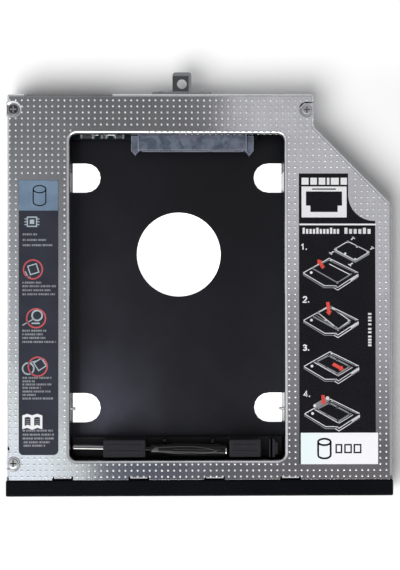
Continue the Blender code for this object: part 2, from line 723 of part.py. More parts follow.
def front_bezel(look, parent):
    """Open-backed front, with lugs that reach through the tray's front wall."""
    x = (LEFT - BEZEL_OVERHANG, RIGHT + BEZEL_OVERHANG)
    y = (BEZEL_FRONT, FRONT - SNUG)
    bezel = block("front_bezel", x, y, (0, BODY_HEIGHT))
    soften(bezel, BEZEL_ROUND)
    room = (
        (x[0] + BEZEL_RIM, x[1] - BEZEL_RIM),
        (y[0] + BEZEL_FACE, y[1] + PAST),
        (BEZEL_RIM, BODY_HEIGHT - BEZEL_RIM),
    )
    cut(bezel, block("bezel_room", *room))
    nose = TRAY_FRONT + TRAY_WALL + GAP
    top = LUG_LEVEL + LUG_HEIGHT
    lugs = []
    noses = []
    for centre in tab_centres():
        wide = (centre - LUG_WIDTH / 2, centre + LUG_WIDTH / 2)
        lugs.append((wide, (y[0] + BEZEL_FACE / 2, nose + LUG_NOSE_LENGTH), (LUG_LEVEL, top)))
        noses.append((wide, (nose, nose + LUG_NOSE_LENGTH), (LUG_LEVEL + LUG_HEIGHT / 2, top + LUG_NOSE)))
    join(bezel, blocks("bezel_lugs", lugs))
    join(bezel, blocks("lug_noses", noses))
    return part(bezel, look, parent)


# Board and connectors


def adapter_board(look, parent):
    board = block("adapter_board", BOARD_X, BOARD_Y, (BOARD_LEVEL, BOARD_TOP))
    room = (SOCKET_X[0] - ARM_WIDTH - GAP, SOCKET_X[1] + ARM_WIDTH + GAP)
    edge = (BOARD_Y[0] - PAST, DRIVE_END + WINDOW_PAST_DRIVE + GAP)
    cut(board, block("socket_bay", room, edge, (0, BODY_HEIGHT)))
    holes = [(x, y, BOARD_TOP) for x, y in BOARD_SCREWS.values()]
    cut(board, rods("board_holes", SHANK_RADIUS + GAP, PAST, holes))
    return part(board, look, parent)


def contact_rows(first, groups, y, z):
    """Limits of the contacts of one connector, in groups from left to right."""
    limits = []
    x = first
    for count in groups:
        for _ in range(count):
            limits.append(((x, x + CONTACT_WIDTH), y, z))
            x += CONTACT_PITCH
        x += CONTACT_GROUP_GAP - CONTACT_PITCH
    return limits


def row_width(groups):
    inside = sum((count - 1) * CONTACT_PITCH for count in groups)
    return inside + (len(groups) - 1) * CONTACT_GROUP_GAP + CONTACT_WIDTH


def arm_outline(inner, outer, tip, shoulder, back):
    middle = (inner + outer) / 2
    return [(inner, back), (inner, shoulder), (middle, tip), (outer, shoulder), (outer, back)]


def drive_socket(look, parent):
    """Receptacle for the drive's plug: a slotted housing between two pointed guide arms."""
    front = DRIVE_END - SOCKET_REACH
    back = DRIVE_END + WINDOW_PAST_DRIVE
    z = (SOCKET_LEVEL, SOCKET_LEVEL + SOCKET_HEIGHT)
    socket = block("drive_socket", SOCKET_X, (front, back), z)
    middle = sum(z) / 2
    arm_z = (middle - ARM_HEIGHT / 2, middle + ARM_HEIGHT / 2)
    tip = DRIVE_END - ARM_REACH
    bite = GAP
    for name, inner, outer in (
        ("left_arm", SOCKET_X[0] + bite, SOCKET_X[0] - ARM_WIDTH),
        ("right_arm", SOCKET_X[1] - bite, SOCKET_X[1] + ARM_WIDTH),
    ):
        join(socket, prism(name, arm_outline(inner, outer, tip, tip + ARM_TIP, back), *arm_z))
    tail = (back - GAP, back + SOCKET_TAIL)
    join(socket, block("socket_tail", SOCKET_X, tail, (BOARD_TOP + SNUG, z[1] - SOCKET_WALL / 2)))
    slot = (SOCKET_X[0] + SOCKET_WALL, SOCKET_X[1] - SOCKET_WALL)
    depth = (front - PAST, back - SOCKET_WALL)
    cut(socket, block("socket_slot", slot, depth, (z[0] + SOCKET_WALL, z[1] - SOCKET_WALL)))
    groups = (SIGNAL_CONTACTS, POWER_CONTACTS)
    first = (slot[0] + slot[1] - row_width(groups)) / 2
    inset = TONGUE_SETBACK
    tongue = (
        (first - GAP, first + row_width(groups) + GAP),
        (front + inset, back - SOCKET_WALL / 2),
        (middle - TONGUE / 2, middle + TONGUE / 2),
    )
    join(socket, block("socket_tongue", *tongue))
    raised = (middle, middle + TONGUE / 2 + CONTACT_HEIGHT)
    rows = contact_rows(first, groups, (front + 2 * inset, back - SOCKET_WALL / 2), raised)
    join(socket, blocks("socket_contacts", rows))
    return part(socket, look, parent)


def host_connector(look, parent):
    """The plug towards the laptop: a shroud round a tongue of contacts, flush with the rear."""
    x = (HOST_X[0] + GAP, HOST_X[1] - GAP)
    y = (REAR - HOST_LENGTH, REAR)
    z = (BOARD_TOP + SNUG, BOARD_TOP + SNUG + HOST_HEIGHT)
    host = block("host_connector", x, y, z)
    soften(host, SNUG, segments=1)
    slot = (x[0] + SOCKET_WALL, x[1] - SOCKET_WALL)
    floor = REAR - HOST_SLOT_DEPTH
    cut(host, block("host_slot", slot, (floor, REAR + PAST), (z[0] + SOCKET_WALL, z[1] - SOCKET_WALL)))
    groups = (SIGNAL_CONTACTS, HOST_POWER_CONTACTS)
    first = (slot[0] + slot[1] - row_width(groups)) / 2
    middle = sum(z) / 2
    along = (floor - SOCKET_WALL / 2, REAR - TONGUE_SETBACK)
    across = (first - GAP, first + row_width(groups) + GAP)
    join(host, block("host_tongue", across, along, (middle - TONGUE / 2, middle + TONGUE / 2)))
    raised = (middle, middle + TONGUE / 2 + CONTACT_HEIGHT)
    ends = (along[0], along[1] - TONGUE_SETBACK / 2)
    join(host, blocks("host_contacts", contact_rows(first, groups, ends, raised)))
    return part(host, look, parent)


def board_chips(look, parent):
    """Small parts soldered in a row along the board's front edge."""
    x = SOCKET_X[0] - ARM_WIDTH - CHIP_GAP
    for index, (length, width, height) in enumerate(CHIP_SIZES):
        place = ((x - length, x), (BOARD_Y[0] + GAP, BOARD_Y[0] + GAP + width))
        chip = block(f"board_chip_{index + 1}", *place, (BOARD_TOP + SNUG, BOARD_TOP + SNUG + height))
        soften(chip, SNUG, segments=1)
        part(chip, look, parent)
        x -= length + CHIP_GAP


# Bracket


def rear_bracket(look, parent):
    """Bent steel: a base against the rear wall and a drilled tab that points backwards."""
    y = (REAR + SNUG, REAR + SNUG + BRACKET_SHEET)
    bracket = block("rear_bracket", BRACKET_X, y, BRACKET_Z)
    centre = sum(BRACKET_X) / 2
    half = TAB_PLATE_WIDTH / 2
    tip = REAR + TAB_LENGTH
    tab = rounded((centre - half, centre + half), (REAR - PAST, tip), TAB_CORNER)
    tab = [(x, max(depth, y[0])) for x, depth in tab]
    join(bracket, prism("bracket_tab", tab, BRACKET_Z[1] - BRACKET_SHEET, BRACKET_Z[1]))
    cut(bracket, rods("tab_hole", TAB_HOLE_RADIUS, PAST, [(centre, tip - TAB_HOLE_FROM_TIP, BRACKET_Z[1])]))
    holes = [(x, REAR, BRACKET_SCREW_Z) for x in BRACKET_SCREWS.values()]
    cut(bracket, rods("bracket_holes", SHANK_RADIUS + GAP, PAST, holes, "Y"))
    return part(bracket, look, parent)


# Fasteners


def screw(name, shank, place, look, parent, turn=(0, 0, 0)):
    """A pan-head screw whose head sits above its place and whose shank goes below it."""
    profile = [(0, HEAD_HEIGHT)]
    profile += [(HEAD_RADIUS * out, HEAD_HEIGHT * up) for out, up in HEAD_CROWN]
    profile += [
        (HEAD_RADIUS, 0),
        (SHANK_RADIUS, 0),
        (SHANK_RADIUS, SHANK_POINT - shank),
        (SHANK_RADIUS - SHANK_POINT, -shank),
        (0, -shank),
    ]
    obj = turned(name, profile)
    half = CROSS_WIDTH / 2
    deep = (HEAD_HEIGHT - CROSS_DEPTH, HEAD_HEIGHT + PAST)
    long = (-CROSS_ARM, CROSS_ARM)
    for index, limits in enumerate(((long, (-half, half)), ((-half, half), long))):
        recess = block(f"{name}_recess_{index}", *limits, deep)
        recess.location = place
        recess.rotation_euler = turn
        cut(obj, recess)
    obj.location = place
    obj.rotation_euler = turn
    return part(obj, look, parent)


def fasteners(looks, parent):
    for name, (x, y) in COVER_SCREWS.items():
        place = (x, y, DISH_FLOOR + LABEL_GLUE)
        screw(f"cover_screw_{name}", COVER_SHANK_LENGTH, place, looks["steel"], parent)
    backwards = (-math.pi / 2, 0, 0)
    outside = REAR + SNUG + BRACKET_SHEET + SNUG
    for name, x in BRACKET_SCREWS.items():
        place = (x, outside, BRACKET_SCREW_Z)
        screw(f"bracket_screw_{name}", BRACKET_SHANK_LENGTH, place, looks["black_steel"], parent, backwards)
    for name, (x, y) in BOARD_SCREWS.items():
        place = (x, y, BOARD_TOP + SNUG)
        screw(f"board_screw_{name}", BOARD_SHANK_LENGTH, place, looks["steel"], parent)


def side_pins(look, parent):
    """Pins through the side lips, which enter the drive's side holes."""
    for name, wall, sign in (("left", WINDOW_X[0], 1), ("right", WINDOW_X[1], -1)):
        shaft = SHEET + SNUG + PIN_REACH
        profile = [
            (0, PIN_REACH),
            (PIN_RADIUS - PIN_CHAMFER, PIN_REACH),
            (PIN_RADIUS, PIN_REACH - PIN_CHAMFER),
            (PIN_RADIUS, PIN_REACH - shaft),
            (PIN_FLANGE_RADIUS, PIN_REACH - shaft),
            (PIN_FLANGE_RADIUS, PIN_REACH - shaft - PIN_FLANGE),
            (0, PIN_REACH - shaft - PIN_FLANGE),
        ]
        pin = turned(f"side_pin_{name}", profile, steps=16)
        pin.location = (wall, PIN_ROW, RETAINER_FOOT + DRIVE_HOLE_HEIGHT)
        pin.rotation_euler = (0, sign * math.pi / 2, 0)
        part(pin, look, parent)


# Retainer bar and screwdriver


def retainer_bar(look, parent):
    """Moulded bar that fills the bay ahead of the drive: a beam, two blocks and a sprung latch."""
    x, y = RETAINER_X, RETAINER_Y
    corner = WINDOW_CORNER - RETAINER_CLEARANCE
    beam_top = RETAINER_FOOT + RETAINER_BEAM
    middle = sum(x) / 2
    outline = (
        [(x[1], y[1]), (x[0], y[1])]
        + arc((x[0] + corner, y[0] + corner), corner, 180, 270)
        + arc((x[1] - corner, y[0] + corner), corner, 270, 360)
    )
    bar = prism("retainer_bar", outline, RETAINER_FOOT, beam_top)
    inside = (y[0] + BLOCK_INSET, y[1] - BLOCK_INSET)
    rise = (RETAINER_FOOT + RETAINER_BEAM / 2, RETAINER_TOP)
    for name, reach in (("left_block", LEFT_BLOCK_X), ("right_block", RIGHT_BLOCK_X)):
        solid = block(name, reach, inside, rise)
        soften(solid, BLOCK_INSET)
        join(bar, solid)
    latch = x[1] - LATCH_FROM_END
    stop = latch - STOP_WALL_FROM_LATCH - STOP_WALL
    boss = sum(y) / 2
    thin = [
        ((stop, stop + STOP_WALL), inside, rise),
        ((latch, latch + LATCH_THICKNESS), inside, rise),
    ]
    join(bar, blocks("latch_walls", thin))
    grip = (latch + LATCH_THICKNESS / 2, latch + LATCH_THICKNESS + LATCH_BOSS)
    boss_y = (boss - LATCH_BOSS_LENGTH / 2, boss + LATCH_BOSS_LENGTH / 2)
    join(bar, block("latch_boss", grip, boss_y, (rise[0], RETAINER_TOP - BLOCK_INSET)))
    handle = (HANDLE_END - HANDLE_LENGTH, HANDLE_END)
    saddles = []
    for centre in (handle[0] + SADDLE_INSET, handle[1] - SADDLE_INSET):
        reach = (centre - SADDLE_THICKNESS / 2, centre + SADDLE_THICKNESS / 2)
        saddles.append((reach, inside, (rise[0], SCREWDRIVER_Z)))
    join(bar, blocks("saddles", saddles))
    along = (LEFT_BLOCK_X[1] + RIGHT_BLOCK_X[0]) / 2
    groove = rods(
        "handle_groove",
        HANDLE_RADIUS + GAP,
        RIGHT_BLOCK_X[0] - LEFT_BLOCK_X[1],
        [(along - middle, 0, 0)],
        "X",
    )
    bore_centre = LEFT_BLOCK_X[1] + GAP - WINDOW_WIDTH / 2 - middle
    bore = rods("blade_bore", BLADE_RADIUS + BLADE_BORE_CLEARANCE, WINDOW_WIDTH, [(bore_centre, 0, 0)], "X")
    for shape in (groove, bore):
        shape.location = (middle, SCREWDRIVER_Y, SCREWDRIVER_Z)
        shape.rotation_euler.z = SCREWDRIVER_TILT
        cut(bar, shape)
    join(bar, blocks("block_embossing", embossing()))
    return part(bar, look, parent)


def embossing():
    """Plain raised bars on top of the two blocks."""
    limits = []
    lift = (RETAINER_TOP - LETTER_BAR, RETAINER_TOP + LETTER_RISE)
    for start, end in (LEFT_BLOCK_X, RIGHT_BLOCK_X):
        reach = (start + LETTER_INSET, end - LETTER_INSET)
        for side in (-1, 1):
            line = sum(RETAINER_Y) / 2 + side * LETTER_LINE_PITCH / 2
            limits.append((reach, (line - LETTER_BAR / 2, line + LETTER_BAR / 2), lift))
    return limits


def screwdriver(looks, parent):
    """Fluted handle on a round steel blade, lying in the bar and a little askew."""
    sideways = (0, math.pi / 2, 0)
    middle = sum(RETAINER_X) / 2
    hold = empty("screwdriver", (middle, SCREWDRIVER_Y, SCREWDRIVER_Z), parent)
    hold.matrix_parent_inverse = parent.matrix_world.inverted()
    hold.rotation_euler.z = SCREWDRIVER_TILT
    bpy.context.view_layer.update()
    start = HANDLE_END - HANDLE_LENGTH - middle
    end = HANDLE_END - middle
    butt = [(HANDLE_RADIUS - HANDLE_ROUND, end - HANDLE_ROUND)]
    butt = arc(butt[0], HANDLE_ROUND, 90, 0, steps=3)
    profile = [
        (0, end),
        *butt,
        (HANDLE_RADIUS, start + HANDLE_SHOULDER),
        (HANDLE_NECK_RADIUS, start + HANDLE_NECK),
        (HANDLE_COLLAR_RADIUS, start + HANDLE_ROUND),
        (HANDLE_COLLAR_RADIUS - HANDLE_ROUND / 2, start),
        (0, start),
    ]
    handle = turned("screwdriver_handle", profile)
    ring = HANDLE_RADIUS + FLUTE_RADIUS - FLUTE_BITE
    fluted = (start + HANDLE_SHOULDER, end - FLUTE_FROM_END)
    flutes = []
    for index in range(FLUTE_COUNT):
        angle = 2 * math.pi * index / FLUTE_COUNT
        flutes.append((ring * math.cos(angle), ring * math.sin(angle), sum(fluted) / 2))
    flute = rods("flutes", FLUTE_RADIUS, fluted[1] - fluted[0], flutes, steps=12)
    hole = rods("handle_bore", BLADE_RADIUS + SNUG / 2, 2 * (BLADE_SEAT + SNUG), [(0, 0, start)])
    for shape in (flute, hole):
        cut(handle, shape)
    tip = WINDOW_X[0] + RETAINER_CLEARANCE + BLADE_START - middle
    blade = turned("screwdriver_blade", [
        (0, start + BLADE_SEAT),
        (BLADE_RADIUS, start + BLADE_SEAT),
        (BLADE_RADIUS, tip + BLADE_TIP),
        (BLADE_TIP_RADIUS, tip),
        (0, tip),
    ])
    smooth(handle)
    for obj in (flute, hole, handle, blade):
        obj.parent = hold
        obj.rotation_euler = sideways
    for obj, look in ((handle, looks["black_gloss"]), (blade, looks["steel"])):
        bpy.data.collections[TOOLS].objects.unlink(obj)
        bpy.data.collections[PARTS].objects.link(obj)
        obj.hide_render = False
        obj.display_type = "TEXTURED"
        obj.data.materials.append(look)


# Labels


def labels(looks, parent):
    low = BODY_HEIGHT + LABEL_GLUE
    x = (LEFT + LEFT_LABEL_SIDE, WINDOW_X[0] - LEFT_LABEL_FROM_WINDOW)
    y = (FRONT + LEFT_LABEL_FRONT, REAR - LEFT_LABEL_REAR)
    corner = LEFT_LABEL_CORNER
    outline = (
        [(x[1], y[1]), (x[0], y[1])]
        + arc((x[0] + corner, y[0] + corner), corner, 180, 270)
        + arc((x[1] - corner, y[0] + corner), corner, 270, 360)
    )
    part(prism("left_label", outline, low, low + LABEL), looks["label_slate"], parent)
    x = (WINDOW_X[1] + RIGHT_LABEL_FROM_WINDOW, RIGHT - RIGHT_LABEL_SIDE)
    y = (FRONT + RIGHT_LABEL_FRONT, REAR - RIGHT_LABEL_REAR)
    shoulder = y[1] - RIGHT_LABEL_STEP_LENGTH
    step = x[1] - RIGHT_LABEL_STEP
    outline = [(x[0], y[0]), (x[1], y[0]), (x[1], shoulder)]
    outline += arc((step + RIGHT_LABEL_SWEEP, shoulder + RIGHT_LABEL_SWEEP), RIGHT_LABEL_SWEEP, 270, 180)
    outline += [(step, y[1]), (x[0], y[1])]
    part(prism("right_label", outline, low, low + LABEL), looks["label_black"], parent)


def build():
    fresh_scene()
    looks = {
        "aluminium": material("embossed_aluminium", (0.62, 0.63, 0.66), 0.42, 1.0),
        "tray": material("tray_black", (0.030, 0.030, 0.036), 0.6),
        "bezel": material("bezel_black", (0.012, 0.012, 0.015), 0.5),
        "steel": material("bright_steel", (0.70, 0.70, 0.71), 0.3, 1.0),
        "black_steel": material("dark_steel", (0.09, 0.09, 0.095), 0.45, 1.0),
        "board": material("board_green", (0.02, 0.09, 0.05), 0.45),
        "socket": material("socket_blue_grey", (0.105, 0.125, 0.16), 0.55),
        "host": material("host_black", (0.02, 0.02, 0.022), 0.5),
        "chip": material("chip_tan", (0.55, 0.48, 0.38), 0.5),
        "black_gloss": material("handle_black", (0.018, 0.018, 0.02), 0.22),
        "label_slate": material("label_slate", (0.036, 0.040, 0.052), 0.5),
        "label_black": material("label_black", (0.021, 0.020, 0.024), 0.5),
    }
    caddy = empty("caddy", (0, 0, 0))
    top_cover(looks["aluminium"], caddy)
    bottom_tray(looks["tray"], caddy)
    front_bezel(looks["bezel"], caddy)
    adapter_board(looks["board"], caddy)
    drive_socket(looks["socket"], caddy)
    host_connector(looks["host"], caddy)
    board_chips(looks["chip"], caddy)
    rear_bracket(looks["black_steel"], caddy)
    fasteners(looks, caddy)
    side_pins(looks["steel"], caddy)
    labels(looks, caddy)
    lift = empty("retainer_lift", (sum(RETAINER_X) / 2, sum(RETAINER_Y) / 2, 0), caddy)
    bpy.context.view_layer.update()
    retainer_bar(looks["tray"], lift)
    screwdriver(looks, lift)


build()
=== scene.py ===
import math

import bpy
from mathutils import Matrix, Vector


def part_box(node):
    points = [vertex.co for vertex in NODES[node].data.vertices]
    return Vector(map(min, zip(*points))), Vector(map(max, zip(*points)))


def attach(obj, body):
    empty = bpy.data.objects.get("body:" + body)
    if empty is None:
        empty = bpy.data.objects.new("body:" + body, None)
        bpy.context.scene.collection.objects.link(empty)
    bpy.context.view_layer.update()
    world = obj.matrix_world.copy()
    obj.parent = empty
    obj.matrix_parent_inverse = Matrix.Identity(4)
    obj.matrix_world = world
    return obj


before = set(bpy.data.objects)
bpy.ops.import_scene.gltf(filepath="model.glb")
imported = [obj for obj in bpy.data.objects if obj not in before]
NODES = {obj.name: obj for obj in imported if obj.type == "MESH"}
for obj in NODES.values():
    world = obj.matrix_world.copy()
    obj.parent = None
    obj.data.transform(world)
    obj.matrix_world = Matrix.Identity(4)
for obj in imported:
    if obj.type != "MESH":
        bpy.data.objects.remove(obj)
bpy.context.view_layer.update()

MM = 0.001
BODY = "caddy"
MOVING = "retainer"

# Each node's lowest and highest corner in millimetres, and the height of the plate's face
BOXES = {node: [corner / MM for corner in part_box(node)] for node in NODES}
PLATE = BOXES["front_bezel"][1].z


# Nodes of materials and of the world


def lit(colour, factor):
    """A colour times a factor, no brighter than white."""
    return tuple(min(1, channel * factor) for channel in colour)


class Nodes:
    """A node tree, with short ways to add nodes and join them."""

    def __init__(self, tree):
        self.tree = tree

    def feed(self, target, value):
        """Gives an input another node's output, a number, a vector or a colour."""
        if isinstance(value, bpy.types.NodeSocket):
            self.tree.links.new(value, target)
        elif isinstance(value, tuple):
            target.default_value = (*value, 1)[:len(target.default_value)]
        else:
            target.default_value = value

    def add(self, kind, inputs=(), **settings):
        """A node with its settings, and its inputs by name or number."""
        made = self.tree.nodes.new("ShaderNode" + kind)
        for name, value in settings.items():
            setattr(made, name, value)
        for name, value in dict(inputs).items():
            self.feed(made.inputs[name], value)
        return made

    def math(self, operation, *values):
        return self.add("Math", enumerate(values), operation=operation).outputs["Value"]

    def product(self, first, *others):
        for other in others:
            first = self.math("MULTIPLY", first, other)
        return first

    def ramp(self, factor, low, high, start=0.35, end=0.65, kind="SMOOTHSTEP"):
        """Maps a factor from start..end to low..high, and holds it there outside."""
        inputs = {"Value": factor, "From Min": start, "From Max": end, "To Min": low, "To Max": high}
        return self.add("MapRange", inputs, interpolation_type=kind).outputs["Result"]

    def mix(self, factor, first, second):
        """Mixes two colours, each given as a tuple or an output."""
        return self.add("Mix", {"Factor": factor, 6: first, 7: second}, data_type="RGBA").outputs[2]

    def run(self, factor, stops):
        """A colour that runs through stops in the order given."""
        colour = stops[0][1]
        for (start, _), (end, shade) in zip(stops, stops[1:]):
            colour = self.mix(self.ramp(factor, 0, 1, start, end, "LINEAR"), colour, shade)
        return colour

    def part(self, vector, axis):
        return self.add("SeparateXYZ", {0: vector}).outputs[axis]


class Look(Nodes):
    """A Principled material with object coordinates in millimetres and the nodes that feed it."""

    def __init__(self, name, colour, roughness, metallic=0, gloss=0.5):
        self.material = bpy.data.materials.new(name)
        self.material.use_nodes = True
        super().__init__(self.material.node_tree)
        self.shader = self.tree.nodes["Principled BSDF"]
        self.colour = colour
        self.put("Base Color", colour)
        self.put("Roughness", roughness)
        self.put("Metallic", metallic)
        self.put("Specular IOR Level", gloss)
        self.place = self.add("TexCoord").outputs["Object"]
        self.place = self.stretched((1 / MM, 1 / MM, 1 / MM))

    def put(self, name, value):
        self.feed(self.shader.inputs[name], value)

    def stretched(self, factors):
        """The coordinates scaled along each axis."""
        return self.add("Mapping", {"Vector": self.place, "Scale": factors}).outputs["Vector"]

    def noise(self, size, detail=3, roughness=0.55, place=None, distortion=0):
        """Noise between 0 and 1 whose features are about size millimetres wide."""
        inputs = {"Vector": place or self.place, "Scale": 1 / size, "Detail": detail}
        return self.add("TexNoise", {**inputs, "Roughness": roughness, "Distortion": distortion}).outputs["Fac"]

    def along(self, axis, low, high, start, end):
        """Maps the place along an axis of the object from start..end millimetres to low..high."""
        return self.ramp(self.part(self.place, axis), low, high, start, end)

    def shaded(self, factor, low, high):
        """The base colour between two multiples of itself."""
        return self.mix(factor, lit(self.colour, low), lit(self.colour, high))

    def times(self, colour, factor):
        """A colour output multiplied by a factor output."""
        return self.add("VectorMath", {0: colour, "Scale": factor}, operation="SCALE").outputs["Vector"]

    def rounded(self, radius):
        """The surface's normal over edges rounded by a radius in millimetres."""
        return self.add("Bevel", {"Radius": radius * MM}, samples=4).outputs["Normal"]

    def edges(self, radius):
        """Near 1 along sharp edges and 0 on flat faces."""
        normals = {0: self.rounded(radius), 1: self.add("NewGeometry").outputs["Normal"]}
        across = self.add("VectorMath", normals, operation="DOT_PRODUCT")
        return self.ramp(across.outputs["Value"], 1, 0, 0.8, 0.98)

    def made(self, body, fine, rough, depth, soft=0, height=None):
        """The material with its colour, its roughness between two values and bump of a depth in millimetres."""
        self.put("Base Color", body)
        self.put("Roughness", self.ramp(fine, *rough))
        inputs = {"Height": height or fine, "Strength": 1, "Distance": depth * MM}
        if soft:
            inputs["Normal"] = self.rounded(soft)
        self.put("Normal", self.add("Bump", inputs).outputs["Normal"])
        return self.material


# Materials

# Where shade is painted on the cover's right bend and on its folded front tabs: places in x, y and height
RIGHT_BEND_SHADE = (63.1, 63.5)
TAB_FOLD_SHADE = (-63.95, -63.75)
FOLD_SHADE_DROP = (PLATE - 0.012, PLATE - 0.003)

# The tray floor carries a painted pool of light round one place, and painted light and shade that change along x and y
LIGHT_POOL_CENTRE = (-33.5, -42.5)
LIGHT_POOL_REACH = 29
LIGHT_POOL_GAIN = 2.6
TRAY_PAINTED_SHADE = (
    ("X", 1.3, 0.62, -38, 14),
    ("X", 1, 1.35, 14, 30),
    ("X", 0.5, 1, -41, -40),
    ("Y", 1, 0.34, -50, 46),
)

# Painted highlights on the bracket's right edge and its tip, and a lighter base strip
BRACKET_LIGHTER = (("X", 0, 1, -3.75, -3.35), ("Y", 0, 0.9, 69.1, 69.5), ("Y", 0.8, 0, 63.95, 64.3))

# The painted shade on the retainer bar under the screwdriver, and where the blade turns black
CRADLE_SHADE = (-17.9, 9.7)
CRADLE_SHADE_BLUR = 0.05
BLADE_BLACK = (-19, -18.4)

# A screw's recess and its rim lie between these depths under the head's top, where painted shade, or on the dark head
# a painted highlight, is put
HEAD_TOP = BOXES["cover_screw_rear_left"][1].z
RECESS_PAINT_DROP = (HEAD_TOP - 0.22, HEAD_TOP - 0.07)

ROUGHNESS_SPREAD = (-0.06, 0.08)


def spread(roughness):
    return [roughness + change for change in ROUGHNESS_SPREAD]


def bare_aluminium():
    """Bright rolled sheet, with painted shade that darkens its right bend and its folded tabs."""
    look = Look("bare_aluminium", (0.8, 0.805, 0.82), 0.09, 1)
    grain = look.noise(0.22, detail=4)
    cloud = look.ramp(look.noise(9, detail=5), 0, 1)
    body = look.mix(cloud, (0.795, 0.8, 0.814), (0.87, 0.875, 0.89))
    body = look.times(body, look.ramp(look.noise(0.42, detail=4, roughness=0.7), 0.86, 1, 0.36, 0.64))
    # Painted shade: the right bend is darkened
    body = look.mix(look.along("X", 0, 1, *RIGHT_BEND_SHADE), body, (0.4, 0.4, 0.41))
    # Painted shade on the folded front tabs
    folded = look.product(look.along("Z", 1, 0, *FOLD_SHADE_DROP), look.along("Y", 1, 0, *TAB_FOLD_SHADE))
    body = look.mix(folded, body, (0.16, 0.16, 0.165))
    rolled = look.noise(0.5, detail=4, place=look.stretched((1, 0.12, 1)))
    both = look.math("ADD", grain, look.product(rolled, 0.7))
    return look.made(body, grain, (0.045, 0.09), 0.0022, 0.12, both)


def dot_aluminium():
    """The same sheet where it is drawn up into dots, which leaves it duller."""
    look = Look("drawn_aluminium", (0.82, 0.825, 0.84), 0.3, 1)
    grain = look.noise(0.16)
    return look.made(look.shaded(grain, 0.94, 1.06), grain, (0.26, 0.34), 0.001)


def tray_painted_light(look):
    """The tray floor's painted light and shade, as a factor."""
    places = {0: look.stretched((1, 1, 0)), 1: (*LIGHT_POOL_CENTRE, 0)}
    away = look.add("VectorMath", places, operation="DISTANCE")
    # A painted pool of light round one place on the floor
    light_pool = look.ramp(away.outputs["Value"], LIGHT_POOL_GAIN, 1, 0, LIGHT_POOL_REACH)
    return look.product(light_pool, *(look.along(*painted_light) for painted_light in TRAY_PAINTED_SHADE))


def cradle_painted_shade(look):
    """Near 1 where shade is painted on the retainer bar under the screwdriver."""
    start, end = CRADLE_SHADE
    return look.product(
        look.along("X", 0, 1, start - CRADLE_SHADE_BLUR, start + CRADLE_SHADE_BLUR),
        look.along("X", 1, 0, end - CRADLE_SHADE_BLUR, end + CRADLE_SHADE_BLUR),
    )


def moulded(name, colour, roughness, grain=0.012, soft=0.12, edge=1.6, size=0.28, gloss=0.5, painted_light=None, shade=None):
    """A moulded plastic with spark-eroded grain, painted highlights on its sharp edges and, where asked, painted light
    and shade over the whole or over one stretch.
    """
    look = Look(name, colour, roughness, gloss=gloss)
    fine = look.noise(size, detail=4)
    cloud = look.ramp(look.noise(14, detail=4), 0, 1)
    # Sharp edges are painted lighter: a painted highlight
    body = look.mix(look.edges(soft * 1.4), look.shaded(cloud, 0.88, 1.14), lit(colour, edge))
    if painted_light:
        # Painted light and shade over the whole piece
        body = look.times(body, painted_light(look))
    if shade:
        # Painted shade over one stretch
        body = look.mix(shade(look), body, lit(colour, 0.2))
    return look.made(body, fine, spread(roughness), grain, soft)


def plated(name, colour, roughness):
    """Plated metal with fine turning marks."""
    look = Look(name, colour, roughness, 1)
    body = look.shaded(look.ramp(look.noise(1.6, detail=4), 0, 1), 0.82, 1.1)
    return look.made(body, look.noise(0.12), spread(roughness), 0.004, 0.06)


def bracket_steel():
    """Dark plate with painted highlights at the tab's tip and right edge, and lighter on the strip behind the wall."""
    look = Look("dark_plate", (0.1, 0.1, 0.104), 0.36, 1)
    # Painted highlights at the tab's right edge and tip, and a lighter base strip
    bracket_lighter = 0
    for place in BRACKET_LIGHTER:
        bracket_lighter = look.math("MAXIMUM", bracket_lighter, look.along(*place))
    body = look.mix(bracket_lighter, (0.122, 0.122, 0.125), (0.42, 0.42, 0.43))
    return look.made(body, look.noise(0.3), (0.32, 0.44), 0.004, 0.1)


def screw_head(name, crown, recess_paint):
    """A plated pan head whose cross recess and rim are painted another colour: painted shade on a bright head, a
    painted highlight on the dark one.
    """
    look = Look(name, crown, 0.26, 1)
    fine = look.noise(0.12)
    body = look.mix(look.along("Z", 0, 1, *RECESS_PAINT_DROP), recess_paint, look.shaded(fine, 0.9, 1))
    return look.made(body, fine, (0.2, 0.32), 0.003, 0.05)


def blade_steel():
    """Nickel plate, black from the bar's block to the handle."""
    look = Look("blade_steel", (0.78, 0.78, 0.77), 0.14, 1)
    drawn = look.noise(0.1, place=look.stretched((0.05, 1, 1)))
    bright = look.mix(drawn, (0.27, 0.27, 0.265), (0.35, 0.35, 0.345))
    body = look.mix(look.along("X", 0, 1, *BLADE_BLACK), bright, (0.02, 0.02, 0.02))
    return look.made(body, drawn, (0.1, 0.2), 0.0015)


def socket_plastic():
    """Blue-grey moulding with cloudy lilac and blue painted highlights, and painted highlights that make its corners
    pale.
    """
    look = Look("socket_plastic", (0.082, 0.098, 0.13), 0.34, gloss=0.4)
    cloud = look.noise(4.5, detail=4, roughness=0.6, distortion=0.6)
    other = look.noise(6.5, place=look.stretched((1, 1.6, 1)), distortion=0.9)
    # Cloudy painted highlights of lilac and blue
    body = look.mix(look.ramp(cloud, 0, 1, 0.4, 0.6), (0.052, 0.07, 0.096), (0.128, 0.148, 0.196))
    body = look.mix(look.ramp(other, 0, 0.6, 0.5, 0.66), body, (0.125, 0.112, 0.16))
    # Painted highlights along the edges
    body = look.mix(look.edges(0.34), body, (0.56, 0.55, 0.62))
    return look.made(body, look.noise(0.5, detail=4), (0.28, 0.42), 0.006, 0.12)


def printed(name, colour, roughness=0.42, low=0.9, high=1.1, gloss=0.3):
    """Ink or film on a sticker: even, with a faint mottle."""
    look = Look(name, colour, roughness, gloss=gloss)
    body = look.shaded(look.ramp(look.noise(7, detail=4), 0, 1), low, high)
    return look.made(body, look.noise(0.35), (roughness - 0.05, roughness + 0.05), 0.003)


